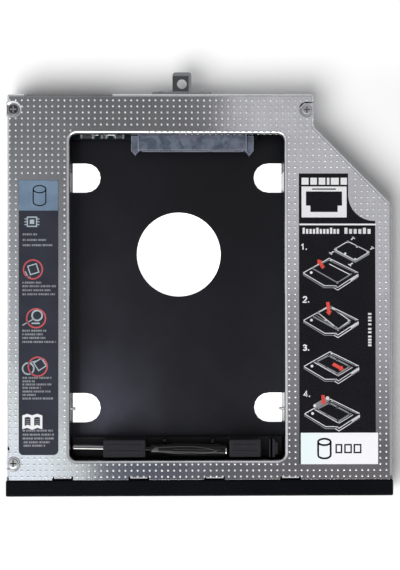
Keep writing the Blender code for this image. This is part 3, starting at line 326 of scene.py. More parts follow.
def box_white():
    """White ink that turns faintly cyan towards its left end."""
    look = Look("box_white", (0.9, 0.9, 0.92), 0.4)
    body = look.mix(look.along("X", 0, 1, 33.5, 46), (0.8, 0.92, 0.94), (0.92, 0.91, 0.945))
    body = look.mix(look.ramp(look.noise(6), 0, 0.12), body, (0.88, 0.88, 0.9))
    return look.made(body, look.noise(0.35), (0.35, 0.45), 0.003)


def board_lacquer():
    """Green lacquer over copper tracks."""
    look = Look("board_lacquer", (0.004, 0.0075, 0.008), 0.32, gloss=0.15)
    tracks = {"Brick Width": 3.4, "Row Height": 0.55, "Mortar Size": 0.09, "Mortar Smooth": 0.3}
    copper = look.add("TexBrick", {"Vector": look.place, "Scale": 1, **tracks}, offset=0.5).outputs["Fac"]
    body = look.mix(copper, look.colour, (0.009, 0.018, 0.017))
    return look.made(body, look.noise(0.4), (0.26, 0.38), 0.02, 0.05, copper)


LOOKS = {
    "aluminium": bare_aluminium(),
    "tray": moulded("tray_plastic", (0.0136, 0.0136, 0.0184), 0.34, 0.007, 0.15, gloss=0.26, painted_light=tray_painted_light),
    "bezel": moulded("bezel_plastic", (0.0026, 0.0028, 0.0044), 0.3, 0.003, 0.3, size=0.2, gloss=0.08),
    "bar": moulded("bar_plastic", (0.0138, 0.0134, 0.0162), 0.48, soft=0.1, gloss=0.26, shade=cradle_painted_shade),
    "steel": plated("bright_plate", (0.7, 0.7, 0.7), 0.22),
    "dark_steel": bracket_steel(),
    # One plated screw in three painted brightnesses: painted light and shade from what each head mirrors
    "head": screw_head("screw_painted_bright", (0.74, 0.73, 0.71), (0.07, 0.065, 0.06)),
    "screw_painted_grey": screw_head("screw_painted_grey", (0.66, 0.66, 0.67), (0.2, 0.2, 0.2)),
    "screw_painted_dark": screw_head("screw_painted_dark", (0.09, 0.09, 0.1), (0.55, 0.55, 0.56)),
    "blade": blade_steel(),
    "dot": dot_aluminium(),
    "board": board_lacquer(),
    "socket": socket_plastic(),
    "host": moulded("host_plastic", (0.012, 0.012, 0.013), 0.45, 0.006, 0.08),
    "gold": plated("gold_contact", (0.83, 0.6, 0.26), 0.24),
    "solder": plated("solder", (0.86, 0.86, 0.88), 0.44),
    "chip": moulded("chip_ceramic", (0.05, 0.048, 0.056), 0.45, 0.004, 0.05, 1.2, 0.15),
    # Paler plastic for the handle's painted highlights
    "grip": moulded("grip_highlight_ribs", (0.052, 0.052, 0.054), 0.36, 0.002, 0.03, 1.1),
    "handle": moulded("handle_plastic", (0.0055, 0.0055, 0.006), 0.2, 0.0015, 0.05, 1.2, gloss=0.2),
    "slate": printed("slate_film", (0.0235, 0.0265, 0.037), gloss=0.28),
    "black": printed("black_film", (0.007, 0.0068, 0.009), 0.3, gloss=0.16),
    "blue": printed("blue_ink", (0.15, 0.215, 0.3), 0.42, 0.86, 1.1),
    "navy": printed("navy_ink", (0.018, 0.045, 0.1)),
    "pale": printed("pale_ink", (0.36, 0.42, 0.46), 0.45),
    "grey": printed("grey_ink", (0.23, 0.24, 0.26), 0.45),
    "white": printed("white_ink", (0.8, 0.8, 0.82), 0.4, 0.98, 1.01),
    "line": printed("line_ink", (0.72, 0.72, 0.74)),
    "red": printed("red_ink", (0.7, 0.08, 0.062)),
    "ring": printed("ring_ink", (0.48, 0.085, 0.1)),
    "box": box_white(),
}

NODE_LOOKS = {
    "aluminium": ("top_cover",),
    "tray": ("bottom_tray",),
    "bezel": ("front_bezel",),
    "bar": ("retainer_bar",),
    "steel": ("board_screw_left", "board_screw_right", "side_pin_left", "side_pin_right"),
    "dark_steel": ("rear_bracket", "bracket_screw_left", "bracket_screw_right"),
    "head": ("cover_screw_front_left",),
    "screw_painted_grey": ("cover_screw_rear_right",),
    "screw_painted_dark": ("cover_screw_rear_left",),
    "blade": ("screwdriver_blade",),
    "board": ("adapter_board",),
    "socket": ("drive_socket",),
    "host": ("host_connector",),
    "chip": ("board_chip_1", "board_chip_2", "board_chip_3"),
    "handle": ("screwdriver_handle",),
    "slate": ("left_label",),
    "black": ("right_label",),
}


def dress_nodes():
    for look, nodes in NODE_LOOKS.items():
        for node in nodes:
            materials = NODES[node].data.materials
            materials.clear()
            materials.append(LOOKS[look])


# Meshes


def linked(name, data):
    """A new object in the scene."""
    obj = bpy.data.objects.new(name, data)
    bpy.context.scene.collection.objects.link(obj)
    return obj


def turned_left(outline):
    """Whether an outline runs anticlockwise."""
    ends = outline[1:] + outline[:1]
    return sum(x0 * y1 - x1 * y0 for (x0, y0), (x1, y1) in zip(outline, ends)) > 0


class Shape:
    """Closed forms in millimetres, faces outward, that become one mesh piece."""

    def __init__(self):
        self.points = []
        self.faces = []

    def loft(self, sections):
        """A closed form through sections, each anticlockwise as seen from the far end."""
        count = len(sections[0])
        first = len(self.points)
        last = first + count * (len(sections) - 1)
        for section in sections:
            self.points += section
        for here in range(first, last, count):
            for i in range(count):
                j = (i + 1) % count
                self.faces.append((here + i, here + j, here + count + j, here + count + i))
        self.faces.append(tuple(first + i for i in reversed(range(count))))
        self.faces.append(tuple(last + i for i in range(count)))

    def prism(self, outline, axis, *ends):
        """A prism along an axis between two places, over an outline in the other two coordinates."""
        if turned_left(outline) == (axis == "Y"):
            outline = outline[::-1]
        spot = "XYZ".index(axis)
        self.loft([[(*point[:spot], end, *point[spot:]) for point in outline] for end in ends])

    def block(self, x, y, z):
        """A box between two places in each coordinate."""
        self.prism([(y[0], z[0]), (y[1], z[0]), (y[1], z[1]), (y[0], z[1])], "X", *x)

    def arc(self, middle, start, end, steps, profile):
        """A form swept clockwise round a middle, from a profile's reach and height at each step."""
        sections = []
        for i in range(steps + 1):
            angle = math.radians(start + (end - start) * i / steps)
            across, ahead = math.cos(angle), math.sin(angle)
            sections.append([(middle.x + reach * across, middle.y + reach * ahead, z) for reach, z in profile(i)])
        self.loft(sections)

    def dome(self, centre, up):
        """A low dome on a foot that lies across a direction."""
        along = Vector((1, 0, 0))
        across = up.cross(along)
        first = len(self.points)
        top = first + DOT_SIDES
        for share, rise in DOT_RINGS:
            for i in range(DOT_SIDES):
                angle = 2 * math.pi * i / DOT_SIDES
                out = along * math.cos(angle) + across * math.sin(angle)
                self.points.append(centre + out * (DOT_RADIUS * share) + up * (DOT_HEIGHT * rise))
        self.points.append(centre + up * DOT_HEIGHT)
        for i in range(DOT_SIDES):
            j = (i + 1) % DOT_SIDES
            self.faces.append((first + i, first + j, top + j, top + i))
            self.faces.append((top + i, top + j, top + DOT_SIDES))
        self.faces.append(tuple(first + i for i in reversed(range(DOT_SIDES))))

    def made(self, name, look, slot, body=BODY, smooth=False):
        """The piece in metres, which rides on a body."""
        mesh = bpy.data.meshes.new(name)
        mesh.from_pydata([tuple(c * MM for c in point) for point in self.points], [], self.faces)
        mesh.validate()
        mesh.materials.append(LOOKS[look])
        if smooth:
            mesh.shade_smooth()
        obj = linked(name, mesh)
        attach(obj, body)


# Embossing

DOT_PITCH = 2.013
DOT_RADIUS = 0.39
DOT_HEIGHT = 0.17
DOT_FIRST = (-62.9, 60.88)
DOT_COUNT = 64
DOT_SIDES = 10
DOT_RINGS = ((1, -0.02), (0.62, 0.66))
DOT_CLEARANCE = 0.15
WINDOW = (-43.05, 28.15, -58.55, 49.7)
WINDOW_CORNER = 2.2
LIP = 1.05
LIP_CLEARANCE = 0.25
SIDE_BEND = 0.75
FRONT_BEND = 0.55
REAR_BEND = 1.2
CHAMFER_START = 38.4
CHAMFER_SUM = 89.9
SCREW_CLEARANCE = 2.9
LABEL_STEP = (9, 15.8)
LABEL_SWEEP = 8.6
LIP_TILT = math.radians(28)
LIP_DOTS_FROM = -18
WALL_DOTS_FROM = -8
WALL_DOT_DROP = 0.35


def screw_middle(screw):
    low, high = BOXES["cover_screw_" + screw]
    return (low + high) / 2


def over(x, y, node, grow):
    """Whether a point lies over a node's box, or within a margin of it."""
    low, high = BOXES[node]
    return low.x - grow < x < high.x + grow and low.y - grow < y < high.y + grow


def inside_rounded(x, y, left, right, front, rear, radius):
    """Whether a point lies in a rectangle with round corners."""
    if not (left < x < right and front < y < rear):
        return False
    dx = max(left + radius - x, x - right + radius, 0)
    dy = max(front + radius - y, y - rear + radius, 0)
    return dx * dx + dy * dy < radius * radius


def in_right_label(x, y, grow):
    """The right label's outline: a box with a step whose inner corner is swept."""
    high = BOXES["right_label"][1]
    step = high.x - LABEL_STEP[0]
    shoulder = high.y - LABEL_STEP[1]
    if not over(x, y, "right_label", grow):
        return False
    if y < shoulder + grow or x < step + grow:
        return True
    middle_x, middle_y = step + LABEL_SWEEP, shoulder + LABEL_SWEEP
    return x < middle_x and y < middle_y and math.hypot(x - middle_x, y - middle_y) > LABEL_SWEEP - grow


def free_for_dot(x, y):
    """Whether the bare plate is flat at a point."""
    margin = DOT_RADIUS + DOT_CLEARANCE
    low, high = BOXES["top_cover"]
    if not (low.x + SIDE_BEND < x < high.x - SIDE_BEND and low.y + FRONT_BEND < y < high.y - REAR_BEND):
        return False
    if x > CHAMFER_START and x + y > CHAMFER_SUM - REAR_BEND:
        return False
    left, right, front, rear = WINDOW
    grow = LIP + LIP_CLEARANCE
    if inside_rounded(x, y, left - grow, right + grow, front - grow, rear + grow, WINDOW_CORNER + grow):
        return False
    if over(x, y, "left_label", margin) or in_right_label(x, y, margin):
        return False
    middles = map(screw_middle, ("rear_left", "rear_right", "front_left"))
    return all(math.hypot(x - middle.x, y - middle.y) >= SCREW_CLEARANCE for middle in middles)


def plate_dots():
    dots = Shape()
    for row in range(DOT_COUNT):
        for column in range(DOT_COUNT):
            x = DOT_FIRST[0] + DOT_PITCH * column
            y = DOT_FIRST[1] - DOT_PITCH * row
            if free_for_dot(x, y):
                dots.dome(Vector((x, y, PLATE)), Vector((0, 0, 1)))
    dots.made("plate_dots", "dot", "aluminium", smooth=True)


def lip_dots():
    """The row of dots that the window's rear bend runs through, and the one below it."""
    dots = Shape()
    right, rear = WINDOW[1], WINDOW[3]
    up = Vector((0, -math.sin(LIP_TILT), math.cos(LIP_TILT)))
    for column in range(DOT_COUNT):
        x = DOT_FIRST[0] + DOT_PITCH * column
        if not LIP_DOTS_FROM < x < right - WINDOW_CORNER:
            continue
        dots.dome(Vector((x, rear + LIP * (1 + up.y), PLATE - LIP * (1 - up.z))), up)
        if x > WALL_DOTS_FROM:
            dots.dome(Vector((x, rear, PLATE - LIP - WALL_DOT_DROP)), Vector((0, -1, 0)))
    dots.made("lip_dots", "dot", "aluminium", smooth=True)


# Metal ends and contacts

CONTACT_PITCH = 1.27
CONTACT_WIDE = 0.6
CONTACT_GAP = 2.4
CONTACT_SKIN = 0.03
CONTACT_NOSE = 0.1
CONTACT_DROP = (0.08, 0.24)
CONTACT_TAIL = 4.75
CONTACT_RISE = 0.65
DRIVE_GROUPS = (7, 15)
DRIVE_TIP = 3.6
HOST_GROUPS = (7, 6)
HOST_TIP = 1.5
CHIP_END = 0.55
CHIP_END_SHARE = 0.28
CHIP_END_PROUD = 0.04
FILLET = ((0.04, 0.03), (0.1, -0.12))
FILLET_FOOT = ((0.42, 0.04), (0.46, 0))
STRIP_SINK = 0.02
BOARD_STRIPS = (
    ((-32.8, -28.9), (50.06, 50.34), 5.2),
    ((-29, -28.2), (49.86, 50.34), 5.5),
    ((-36.5, -35.6), (49.9, 50.34), 5.5),
    ((-35, -34), (50.06, 50.34), 5),
)


def contact_strips(name, node, groups, tip, nose, slot):
    """Gilt strips folded over the contacts of one connector, nose towards its open end."""
    strips = Shape()
    low, high = BOXES[node]
    steps = sum(count - 1 for count in groups)
    x = (low.x + high.x - steps * CONTACT_PITCH - CONTACT_GAP * (len(groups) - 1) - CONTACT_WIDE) / 2
    foot = (low.z + high.z) / 2 + CONTACT_RISE
    top = foot + CONTACT_SKIN
    tail = high.y - CONTACT_TAIL
    out = tip + nose * CONTACT_SKIN
    outline = [
        (tail, foot), (tail, top), (tip - nose * CONTACT_NOSE, top), (out, foot - CONTACT_DROP[0]),
        (out, foot - CONTACT_DROP[1]), (tip, foot - CONTACT_DROP[1]), (tip, foot),
    ]
    for count in groups:
        for _ in range(count):
            strips.prism(outline, "X", x - CONTACT_SKIN, x + CONTACT_WIDE + CONTACT_SKIN)
            x += CONTACT_PITCH
        x += CONTACT_GAP - CONTACT_PITCH
    strips.made(name, "gold", slot)


def contacts():
    tip = BOXES["drive_socket"][0].y + DRIVE_TIP
    contact_strips("drive_contacts", "drive_socket", DRIVE_GROUPS, tip, -1, "socket_blue_grey")
    tip = BOXES["host_connector"][1].y - HOST_TIP
    contact_strips("host_contacts", "host_connector", HOST_GROUPS, tip, 1, "host_black")


def chip_ends():
    """Tinned ends and solder fillets of the small parts on the board."""
    ends = Shape()
    for index in (1, 2, 3):
        low, high = BOXES[f"board_chip_{index}"]
        wide = min(CHIP_END, (high.x - low.x) * CHIP_END_SHARE)
        for end, out in ((low.x, -1), (high.x, 1)):
            outline = [(end - out * wide, low.z), (end - out * wide, high.z + FILLET[0][1])]
            outline += [(end + out * aside, high.z + rise) for aside, rise in FILLET]
            outline += [(end + out * aside, low.z + rise) for aside, rise in FILLET_FOOT]
            ends.prism(outline, "Y", low.y - CHIP_END_PROUD, high.y + CHIP_END_PROUD)
    ends.made("chip_ends", "solder", "bright_steel")


def board_strip_glint():
    """A narrow tinned strip on the board behind the small parts, with a bright pad at each end, in a pale ink that
    paints the tin's glint.
    """
    strips = Shape()
    foot = BOXES["adapter_board"][1].z - STRIP_SINK
    for x, y, top in BOARD_STRIPS:
        strips.block(x, y, (foot, top))
    # The tin is drawn in pale diffuse ink: a painted glint
    strips.made("board_strip_glint", "line", "bright_steel")


# Details of the cover

SEAT_FOOT = 2.02
SEAT_RIM = 2.72
SEAT_DEPTH = 0.5
SKIN = 0.012
DISH_STEPS = 40
DISH_ARCS = {"rear_left": (142, -142), "rear_right": (322, 166), "front_left": (142, -142)}
SLIT_ARC = (166, 104)
SLIT_STEPS = 16
SLIT_REACH = 2.62
SLIT_WIDE = 0.42
SLIT_TIP = 0.04
SLIT_BLUNT = 0.8
SLIT_DEPTH = 0.3
SLIT_RUN = ((-0.7, 2.05), (2.22, 2.52))
SLOT = ((-63.55, -62.95), (-55.1, -53.9), (PLATE - 0.25, PLATE + SKIN))
OPENING_X = (-57.4, -28.8)
OPENING_Y = (-1.2, -0.12)
OPENING_Z = (PLATE - 0.4, PLATE - 0.004)


def screw_dishes():
    """The pressed slope round each cover screw's seat, open at the body's side."""
    dishes = Shape()
    foot = PLATE - SEAT_DEPTH
    profile = [(SEAT_RIM, PLATE - SKIN), (SEAT_FOOT, foot + SKIN), (SEAT_FOOT, foot - SKIN), (SEAT_RIM, foot - SKIN)]
    for screw, ends in DISH_ARCS.items():
        dishes.arc(screw_middle(screw), *ends, DISH_STEPS, lambda step: profile)
    dishes.made("screw_dishes", "aluminium", "aluminium")


def seat_slit_shade():
    """A dark piece that paints the shade in the sheared slit behind the rear right screw's seat, out to the body's
    side.
    """
    slit = Shape()
    middle = screw_middle("rear_right")
    heights = (PLATE - SLIT_DEPTH, PLATE + SKIN)

    def profile(step):
        share = (step + SLIT_BLUNT) / (SLIT_STEPS + 2 * SLIT_BLUNT)
        near = SLIT_REACH - SLIT_TIP - SLIT_WIDE * math.sin(math.pi * share)
        return [(SLIT_REACH, heights[1]), (near, heights[1]), (near, heights[0]), (SLIT_REACH, heights[0])]

    slit.arc(middle, *SLIT_ARC, SLIT_STEPS, profile)
    x, y = ([start + place for place in run] for start, run in zip(middle, SLIT_RUN))
    slit.block(x, y, heights)
    # A dark piece standing for the shade in the slit
    slit.made("seat_slit_shade", "bezel", "tray_black")


def edge_slot_shade():
    """A dark block that paints the shade in the small slot in the cover's left bend."""
    slot = Shape()
    slot.block(*SLOT)
    slot.made("edge_slot_shade", "bezel", "tray_black")


def opening_edge():
    """The sheet's flat edge over the rear opening, where its bend is left out."""
    edge = Shape()
    rear = BOXES["top_cover"][1].y
    edge.block(OPENING_X, [rear + y for y in OPENING_Y], OPENING_Z)
    edge.made("opening_edge", "aluminium", "aluminium")


# Details of the screwdriver's handle

HANDLE_TILT = -0.0209
HANDLE_PROFILE = ((-0.7, 1.8), (-3.1, 1.7), (-7.8, 2.1), (-60, 2.1))
LENS_START = -14.1
LENS_WIDEST = -3.2
LENS_RUN = 19.8
LENS_FALL = 9
LENS_HALF = (0.62, 1.2)
LENS_POWER = 0.8
RIB_STEPS = 30
RIB_SECTION = ((-0.14, -0.08), (0.14, -0.08), (0.1, 0.05), (-0.1, 0.05))
BAND_STEPS = 4
BAND_DEPTH = 0.1

# The collar's and the cap's painted highlight bands: start and end along the handle, half angle and lift
COLLAR_HIGHLIGHT = (0.75, 2.9, 26, 0.03)
CAP_HIGHLIGHT = (-0.7, -0.38, 27, 0.01)


def handle_axis(x):
    """The place in y and z of the handle's middle line."""
    low, high = BOXES["screwdriver_handle"]
    return (low.y + high.y) / 2 + (x - (low.x + high.x) / 2) * HANDLE_TILT, (low.z + high.z) / 2


def handle_radius(x):
    """The handle's radius at a place along it."""
    back = BOXES["screwdriver_handle"][0].x - x
    for (near, wide), (far, other) in zip(HANDLE_PROFILE, HANDLE_PROFILE[1:]):
        if back > far:
            share = min(1, max(0, (near - back) / (near - far)))
            return wide + (other - wide) * share
    return HANDLE_PROFILE[-1][1]


def lens(x):
    """Half the width of the grip's lens-shaped face at a place along it."""
    start, widest = LENS_HALF
    if x < LENS_WIDEST:
        share = (x - LENS_START) / (LENS_WIDEST - LENS_START)
        return start + (widest - start) * math.sin(math.pi / 2 * share)
    return widest * math.cos(math.pi / 2 * min(1, (x - LENS_WIDEST) / LENS_FALL)) ** LENS_POWER


def rib_section(x, side):
    """A rib's outline at a place along the handle."""
    y, z = handle_axis(x)
    radius = handle_radius(x)
    section = []
    for aside, lift in RIB_SECTION:
        off = side * lens(x) + aside
        section.append((x, y + off, z + math.sqrt(radius * radius - off * off) + lift))
    return section


def grip_highlight_ribs():
    """Two fine ribs that bound the grip's lens-shaped face, paler than the handle: painted highlights along the face's
    edges.
    """
    ribs = Shape()
    for side in (-1, 1):
        ribs.loft([rib_section(LENS_START + LENS_RUN * i / RIB_STEPS, side) for i in range(RIB_STEPS + 1)])
    ribs.made("grip_highlight_ribs", "grip", "handle_black", MOVING)


def highlight_band(name, foot, sizes, look, slot):
    """An arched plate on the handle's top, placed from one end of the handle, in a paler look that paints a highlight.
    """
    band = Shape()
    start, end, half, lift = sizes
    start, end = foot + start, foot + end
    y, z = handle_axis((start + end) / 2)
    radius = handle_radius((start + end) / 2)
    angles = [math.radians(90 + half * i / BAND_STEPS) for i in range(-BAND_STEPS, BAND_STEPS + 1)]
    outline = []
    for reach, turns in ((radius + lift, angles), (radius - BAND_DEPTH, angles[::-1])):
        outline += [(y + reach * math.cos(a), z + reach * math.sin(a)) for a in turns]
    band.prism(outline, "X", start, end)
    band.made(name, look, slot, MOVING)


def handle_details():
    low, high = BOXES["screwdriver_handle"]
    grip_highlight_ribs()
    highlight_band("handle_collar_highlight", low.x, COLLAR_HIGHLIGHT, "grip", "handle_black")
    highlight_band("handle_cap_highlight", high.x, CAP_HIGHLIGHT, "steel", "bright_steel")


# Printing on the labels, in the photograph's pixels

# The plate's millimetres in x and y for a pixel across, a pixel down and the picture's corner
PLATE_X = (0.33157, -0.00041, -66.027)
PLATE_Y = (-0.00043, -0.33151, 94.088)
PRINT_FOOT = 0.004
PRINT_RISE = 0.01
TYPE_LENGTHS = (1.7, 1.1, 2.2, 1.4, 0.9, 1.9, 1.2, 1.6, 2.4, 1, 1.5, 1.3, 2)
TYPE_GAP = 0.5
WORD_GAP = 1.3
WORD = 5
SHORTEST = 0.6
MITRE_LIMIT = 1.6


def plate_point(x, y):
    """The plate's point in millimetres that the photograph shows at a pixel."""
    return tuple(across * x + down * y + corner for across, down, corner in (PLATE_X, PLATE_Y))


class Print(Shape):
    """Flat shapes of one ink on a label, in pixels from an origin that each picture sets."""

    def __init__(self, label, ink):
        super().__init__()
        self.label = label
        self.ink = ink
        self.origin = (0, 0)

    def shape(self, corners, level=0):
        x0, y0 = self.origin
        face = BOXES[self.label][1].z
        outline = [plate_point(x0 + x, y0 + y) for x, y in corners]
        self.prism(outline, "Z", face - PRINT_FOOT, face + PRINT_RISE * (1 + level))

    def box(self, x0, x1, y0, y1, level=0):
        self.shape([(x0, y0), (x1, y0), (x1, y1), (x0, y1)], level)

    def line(self, points, width=1, closed=False, level=0):
        """A stroke through points, mitred at its bends."""
        count = len(points)
        sides = []
        for i, point in enumerate(points):
            here = Vector(point)
            ahead = Vector(points[(i + 1) % count]) - here
            behind = here - Vector(points[i - 1])
            if not closed and i == 0:
                behind = ahead
            if not closed and i == count - 1:
                ahead = behind
            ahead, behind = ahead.normalized(), behind.normalized()
            mean = (ahead + behind).normalized()
            normal = Vector((-mean.y, mean.x))
            stretch = min(MITRE_LIMIT, 1 / max(0.3, normal.dot(Vector((-ahead.y, ahead.x)))))
            aside = normal * width / 2 * stretch
            sides.append((tuple(here + aside), tuple(here - aside)))
        for i in range(count if closed else count - 1):
            (a, b), (c, d) = sides[i], sides[(i + 1) % count]
            self.shape([a, c, d, b], level)

    def oval(self, x, y, wide, tall, start=0, end=360, sides=20):
        """Points round an oval, or from one angle to another on it."""
        steps = [math.radians(start + (end - start) * i / sides) for i in range(sides + (end - start < 360))]
        return [(x + wide * math.cos(a), y + tall * math.sin(a)) for a in steps]

    def disc(self, x, y, wide, tall=None, level=0, sides=16):
        self.shape(self.oval(x, y, wide, tall or wide, sides=sides), level)

    def discs(self, places, wide):
        for x, y in places:
            self.disc(x, y, wide)

    def ring(self, x, y, wide, width, tall=None):
        self.line(self.oval(x, y, wide, tall or wide, sides=32), width, closed=True)

    def drum(self, x, y, wide, tall, lid, width):
        """Outline of an upright drum."""
        top, low = y - tall / 2 + lid, y + tall / 2 - lid
        self.ring(x, top, wide / 2, width, lid)
        for side in (x - wide / 2, x + wide / 2):
            self.line([(side, top), (side, low)], width)
        self.line(self.oval(x, low, wide / 2, lid, 0, 180), width)

    def slab(self, x, y, size, turn, width=1.1):
        """Outline of a square slab turned by an angle in degrees."""
        self.line(self.oval(x, y, size, size, turn, turn + 360, sides=4), width, closed=True)

    def type_line(self, x0, x1, y, height, first):
        """A row of short bars that stands for one line of small print."""
        while x0 < x1 - SHORTEST:
            end = min(x0 + TYPE_LENGTHS[first % len(TYPE_LENGTHS)], x1)
            self.box(x0, end, y - height / 2, y + height / 2)
            first += 1
            x0 = end + (WORD_GAP if first % WORD == 0 else TYPE_GAP)


class Label(dict):
    """One label's inks by name, made in the order in which they are named."""

    def __init__(self, label, slot, *inks):
        super().__init__((ink, Print(label, ink)) for ink in inks)
        self.slot = slot

    def place(self, origin):
        for ink in self.values():
            ink.origin = origin

    def made(self):
        for ink in self.values():
            ink.made(f"{ink.label}_{ink.ink}", ink.ink, self.slot)


# The left label

BLUE_FIELD = (18.9, 57.9, 180.6, 210.8)
BLUE_DRUM = (39.5, 195.8, 12.6, 20, 3.6, 1.1)
CHIP_MARK = (32, 222)
CHIP_HALF = 4.6
CHIP_CORE = 2.2
CHIP_LEGS = (-2.8, 0, 2.8)
CHIP_LEG_ENDS = (5.4, 7.4)
RING_MARKS = ((33, 269.6), (36.2, 318.4), (37.9, 366.6))
RING_RADIUS = 9.4
RING_WIDTH = 1.5
PALE_SLABS = ((33.4, 269.4, 6.2, 28), (40.2, 364.4, 6.4, 12))
PALE_RINGS = ((37.2, 315.6, 5, 1.6), (28.4, 368.6, 5.6, 1.5))
PALE_STROKES = (
    ((25.4, 271.6), (28.2, 277.2), 0.9),
    ((26.4, 276.6), (30.6, 277.6), 0.9),
    ((22.6, 325.4), (33.6, 319.2), 1.1),
    ((31.6, 323.4), (39.8, 323.4), 1.4),
    ((30, 362.6), (36.2, 361), 0.9),
)
TYPE_TALL = 1.9
TYPE_ROWS = (
    (22.8, (234.6, 37), (240.2, 46), (245.4, 54)),
    (22.6, (282.8, 42), (286.4, 57), (290.4, 51), (294.4, 55)),
    (22.4, (330.8, 47), (334.4, 43), (338, 46), (342, 56)),
    (22.8, (377.8, 52), (381.2, 35), (384.4, 52), (387.8, 41), (391.4, 51), (394.8, 36), (398.4, 54)),
    (23, (430.4, 53), (434.4, 54), (438.2, 54)),
    (24, (442, 51), (445.4, 46)),
)
BOOK_TOP = ((22.6, 415.4), (27.4, 413.6), (32.4, 415.2), (37.6, 413.6), (42.6, 415.4))
BOOK_FOOT = ((42.6, 429), (37.6, 427.6), (32.6, 429.6), (27.4, 427.6), (22.6, 429))
BOOK_PAGES = (
    ((25, 417.4), (28.2, 416.6), (30.8, 417.6), (30.8, 425.6), (28.2, 424.6), (25, 425.6)),
    ((34.4, 417.6), (37.2, 416.6), (40.2, 417.4), (40.2, 425.6), (37.2, 424.6), (34.4, 425.6)),
)
BOOK_RULES = (419.4, 421.6, 423.6)
BOOK_RULE_ENDS = ((25.8, 30.2), (35.2, 39.6))
BOOK_RULE_HALF = 0.35


def chip_mark(ink):
    """A chip's outline with three legs on each side."""
    ink.slab(0, 0, CHIP_HALF * math.sqrt(2), 225, 1.2)
    ink.box(-CHIP_CORE, CHIP_CORE, -CHIP_CORE, CHIP_CORE)
    for y in CHIP_LEGS:
        for side in (-1, 1):
            ink.box(*(side * end for end in CHIP_LEG_ENDS), y - 0.5, y + 0.5)


def left_print():
    label = Label("left_label", "label_slate", "blue", "navy", "pale", "ring", "grey", "white", "slate")
    pale, grey = label["pale"], label["grey"]
    label["blue"].box(*BLUE_FIELD)
    label["navy"].drum(*BLUE_DRUM)
    for x, y in RING_MARKS:
        label["ring"].ring(x, y, RING_RADIUS, RING_WIDTH)
    for mark in PALE_SLABS:
        pale.slab(*mark)
    for mark in PALE_RINGS:
        pale.ring(*mark)
    for start, end, width in PALE_STROKES:
        pale.line([start, end], width)
    rows = [(y, start, end) for start, *ends in TYPE_ROWS for y, end in ends]
    for index, (y, start, end) in enumerate(rows):
        grey.type_line(start, end, y, TYPE_TALL, index * 3)
    label["white"].shape(BOOK_TOP + BOOK_FOOT)
    for page in BOOK_PAGES:
        label["slate"].shape(page, 1)
    for y in BOOK_RULES:
        for ends in BOOK_RULE_ENDS:
            grey.box(*ends, y - BOOK_RULE_HALF, y + BOOK_RULE_HALF, 2)
    label.place(CHIP_MARK)
    chip_mark(pale)
    label.made()


# The right label

TOP_BOXES = ((301.6, 308.6), (310.4, 317), (318.8, 325.4), (327, 329.6), (331, 339), (340.8, 347.2))
TOP_BOX_ROWS = (177.6, 184.6)
PLUG_FIELD = (301.6, 346.8, 186.4, 217.4)
PLUG = (
    (306, 191.4), (342.2, 191.4), (342.2, 205.6), (337.8, 205.6),
    (337.8, 212), (310.4, 212), (310.4, 205.6), (306, 205.6),
)
PLUG_BAR = (312, 336, 188.4, 189.6)
RULE = (299.4, 376, 223.6, 225.3)
BARS = ((302.6, 340.4, 11), (344.6, 372.4, 6))
BAR_ROWS = (229, 233.8)
BAR_SHARE = 0.66
TALL_BAR = 1.2
TALL_EVERY = 4
SIDE_BARS = (313.2, 316.8, 319.8, 323.6, 328.2, 331.6, 335.8, 339, 341.8, 344.6)
SIDE_BAR_ENDS = (368.2, 371.6)
SIDE_BAR_TALL = 1.9
NUMBERS = ((300.8, 244.2), (303, 297), (303, 345.2), (303.8, 391.4))
PICTURES = ((303.2, 273), (303.4, 320.6), (303.8, 366.6), (304.4, 414))
WHITE_BOX = (300.6, 378, 433, 464.4)
BOX_DRUM = (324.2, 448.8, 12.6, 19.6, 3.2, 1.9)
BOX_FRAMES = ((336, 341.4), (344.8, 351), (354.2, 360.6))
BOX_FRAME_ROWS = (445, 452.8)

# The strokes of each digit, in shares of its width and height
DIGIT_TALL = 5.4
DIGIT_WIDE = DIGIT_TALL * 0.66
DIGIT_STROKE = 1.35
DIGITS = (
    ((0.2, 0.25), (0.62, 0), (0.62, 1)),
    ((0, 0.225), (0.3, 0), (0.8, 0), (1, 0.25), (0.8, 0.5), (0, 1), (1, 1)),
    ((0, 0.175), (0.4, 0), (0.9, 0.125), (0.8, 0.425), (0.4, 0.5), (0.9, 0.575), (0.95, 0.85), (0.45, 1), (0, 0.85)),
    ((1, 0.72), (0, 0.72), (0.7, 0), (0.7, 1)),
)

# Stroke widths of the pictures
HAIR = 0.7
THIN = 0.8
FINE = 0.9
ARROW_WIDE = 3.4
ARROW_HEAD = 6.4
ARROW_NECK = ARROW_HEAD * 0.62


def number(ink, strokes):
    """A digit followed by a point, from its top left corner."""
    ink.line([(DIGIT_WIDE * across, DIGIT_TALL * down) for across, down in strokes], DIGIT_STROKE)
    ink.box(DIGIT_WIDE + 1.3, DIGIT_WIDE + 2.5, DIGIT_TALL - 1, DIGIT_TALL + 0.4)


def caddy_drawing(line, grey):
    """A line drawing of the caddy seen from a corner."""
    line.line([(0, 0), (26, -14.6), (55, -0.3)], THIN)
    line.line([(0, 0.2), (21.3, 12.9), (31, 12.9), (34.5, 14.6), (55, 1.2)], THIN)
    grey.line([(-0.2, 1.8), (20.8, 14.8), (30.6, 14.9)], THIN)
    line.line([(30.6, 14.9), (34.5, 17.2), (55.2, 4)], THIN)
    grey.line([(26, -12.6), (52.6, 0)], HAIR)
    line.shape([(47.4, 6.4), (55.4, 1), (55.4, 4.2), (47.4, 9)])
    line.disc(8, -0.3, 1.4)
    line.discs([(27.8, -12.9), (52.2, -0.6)], 0.9)
    line.disc(32.4, 13.4, 1.3, 0.9)


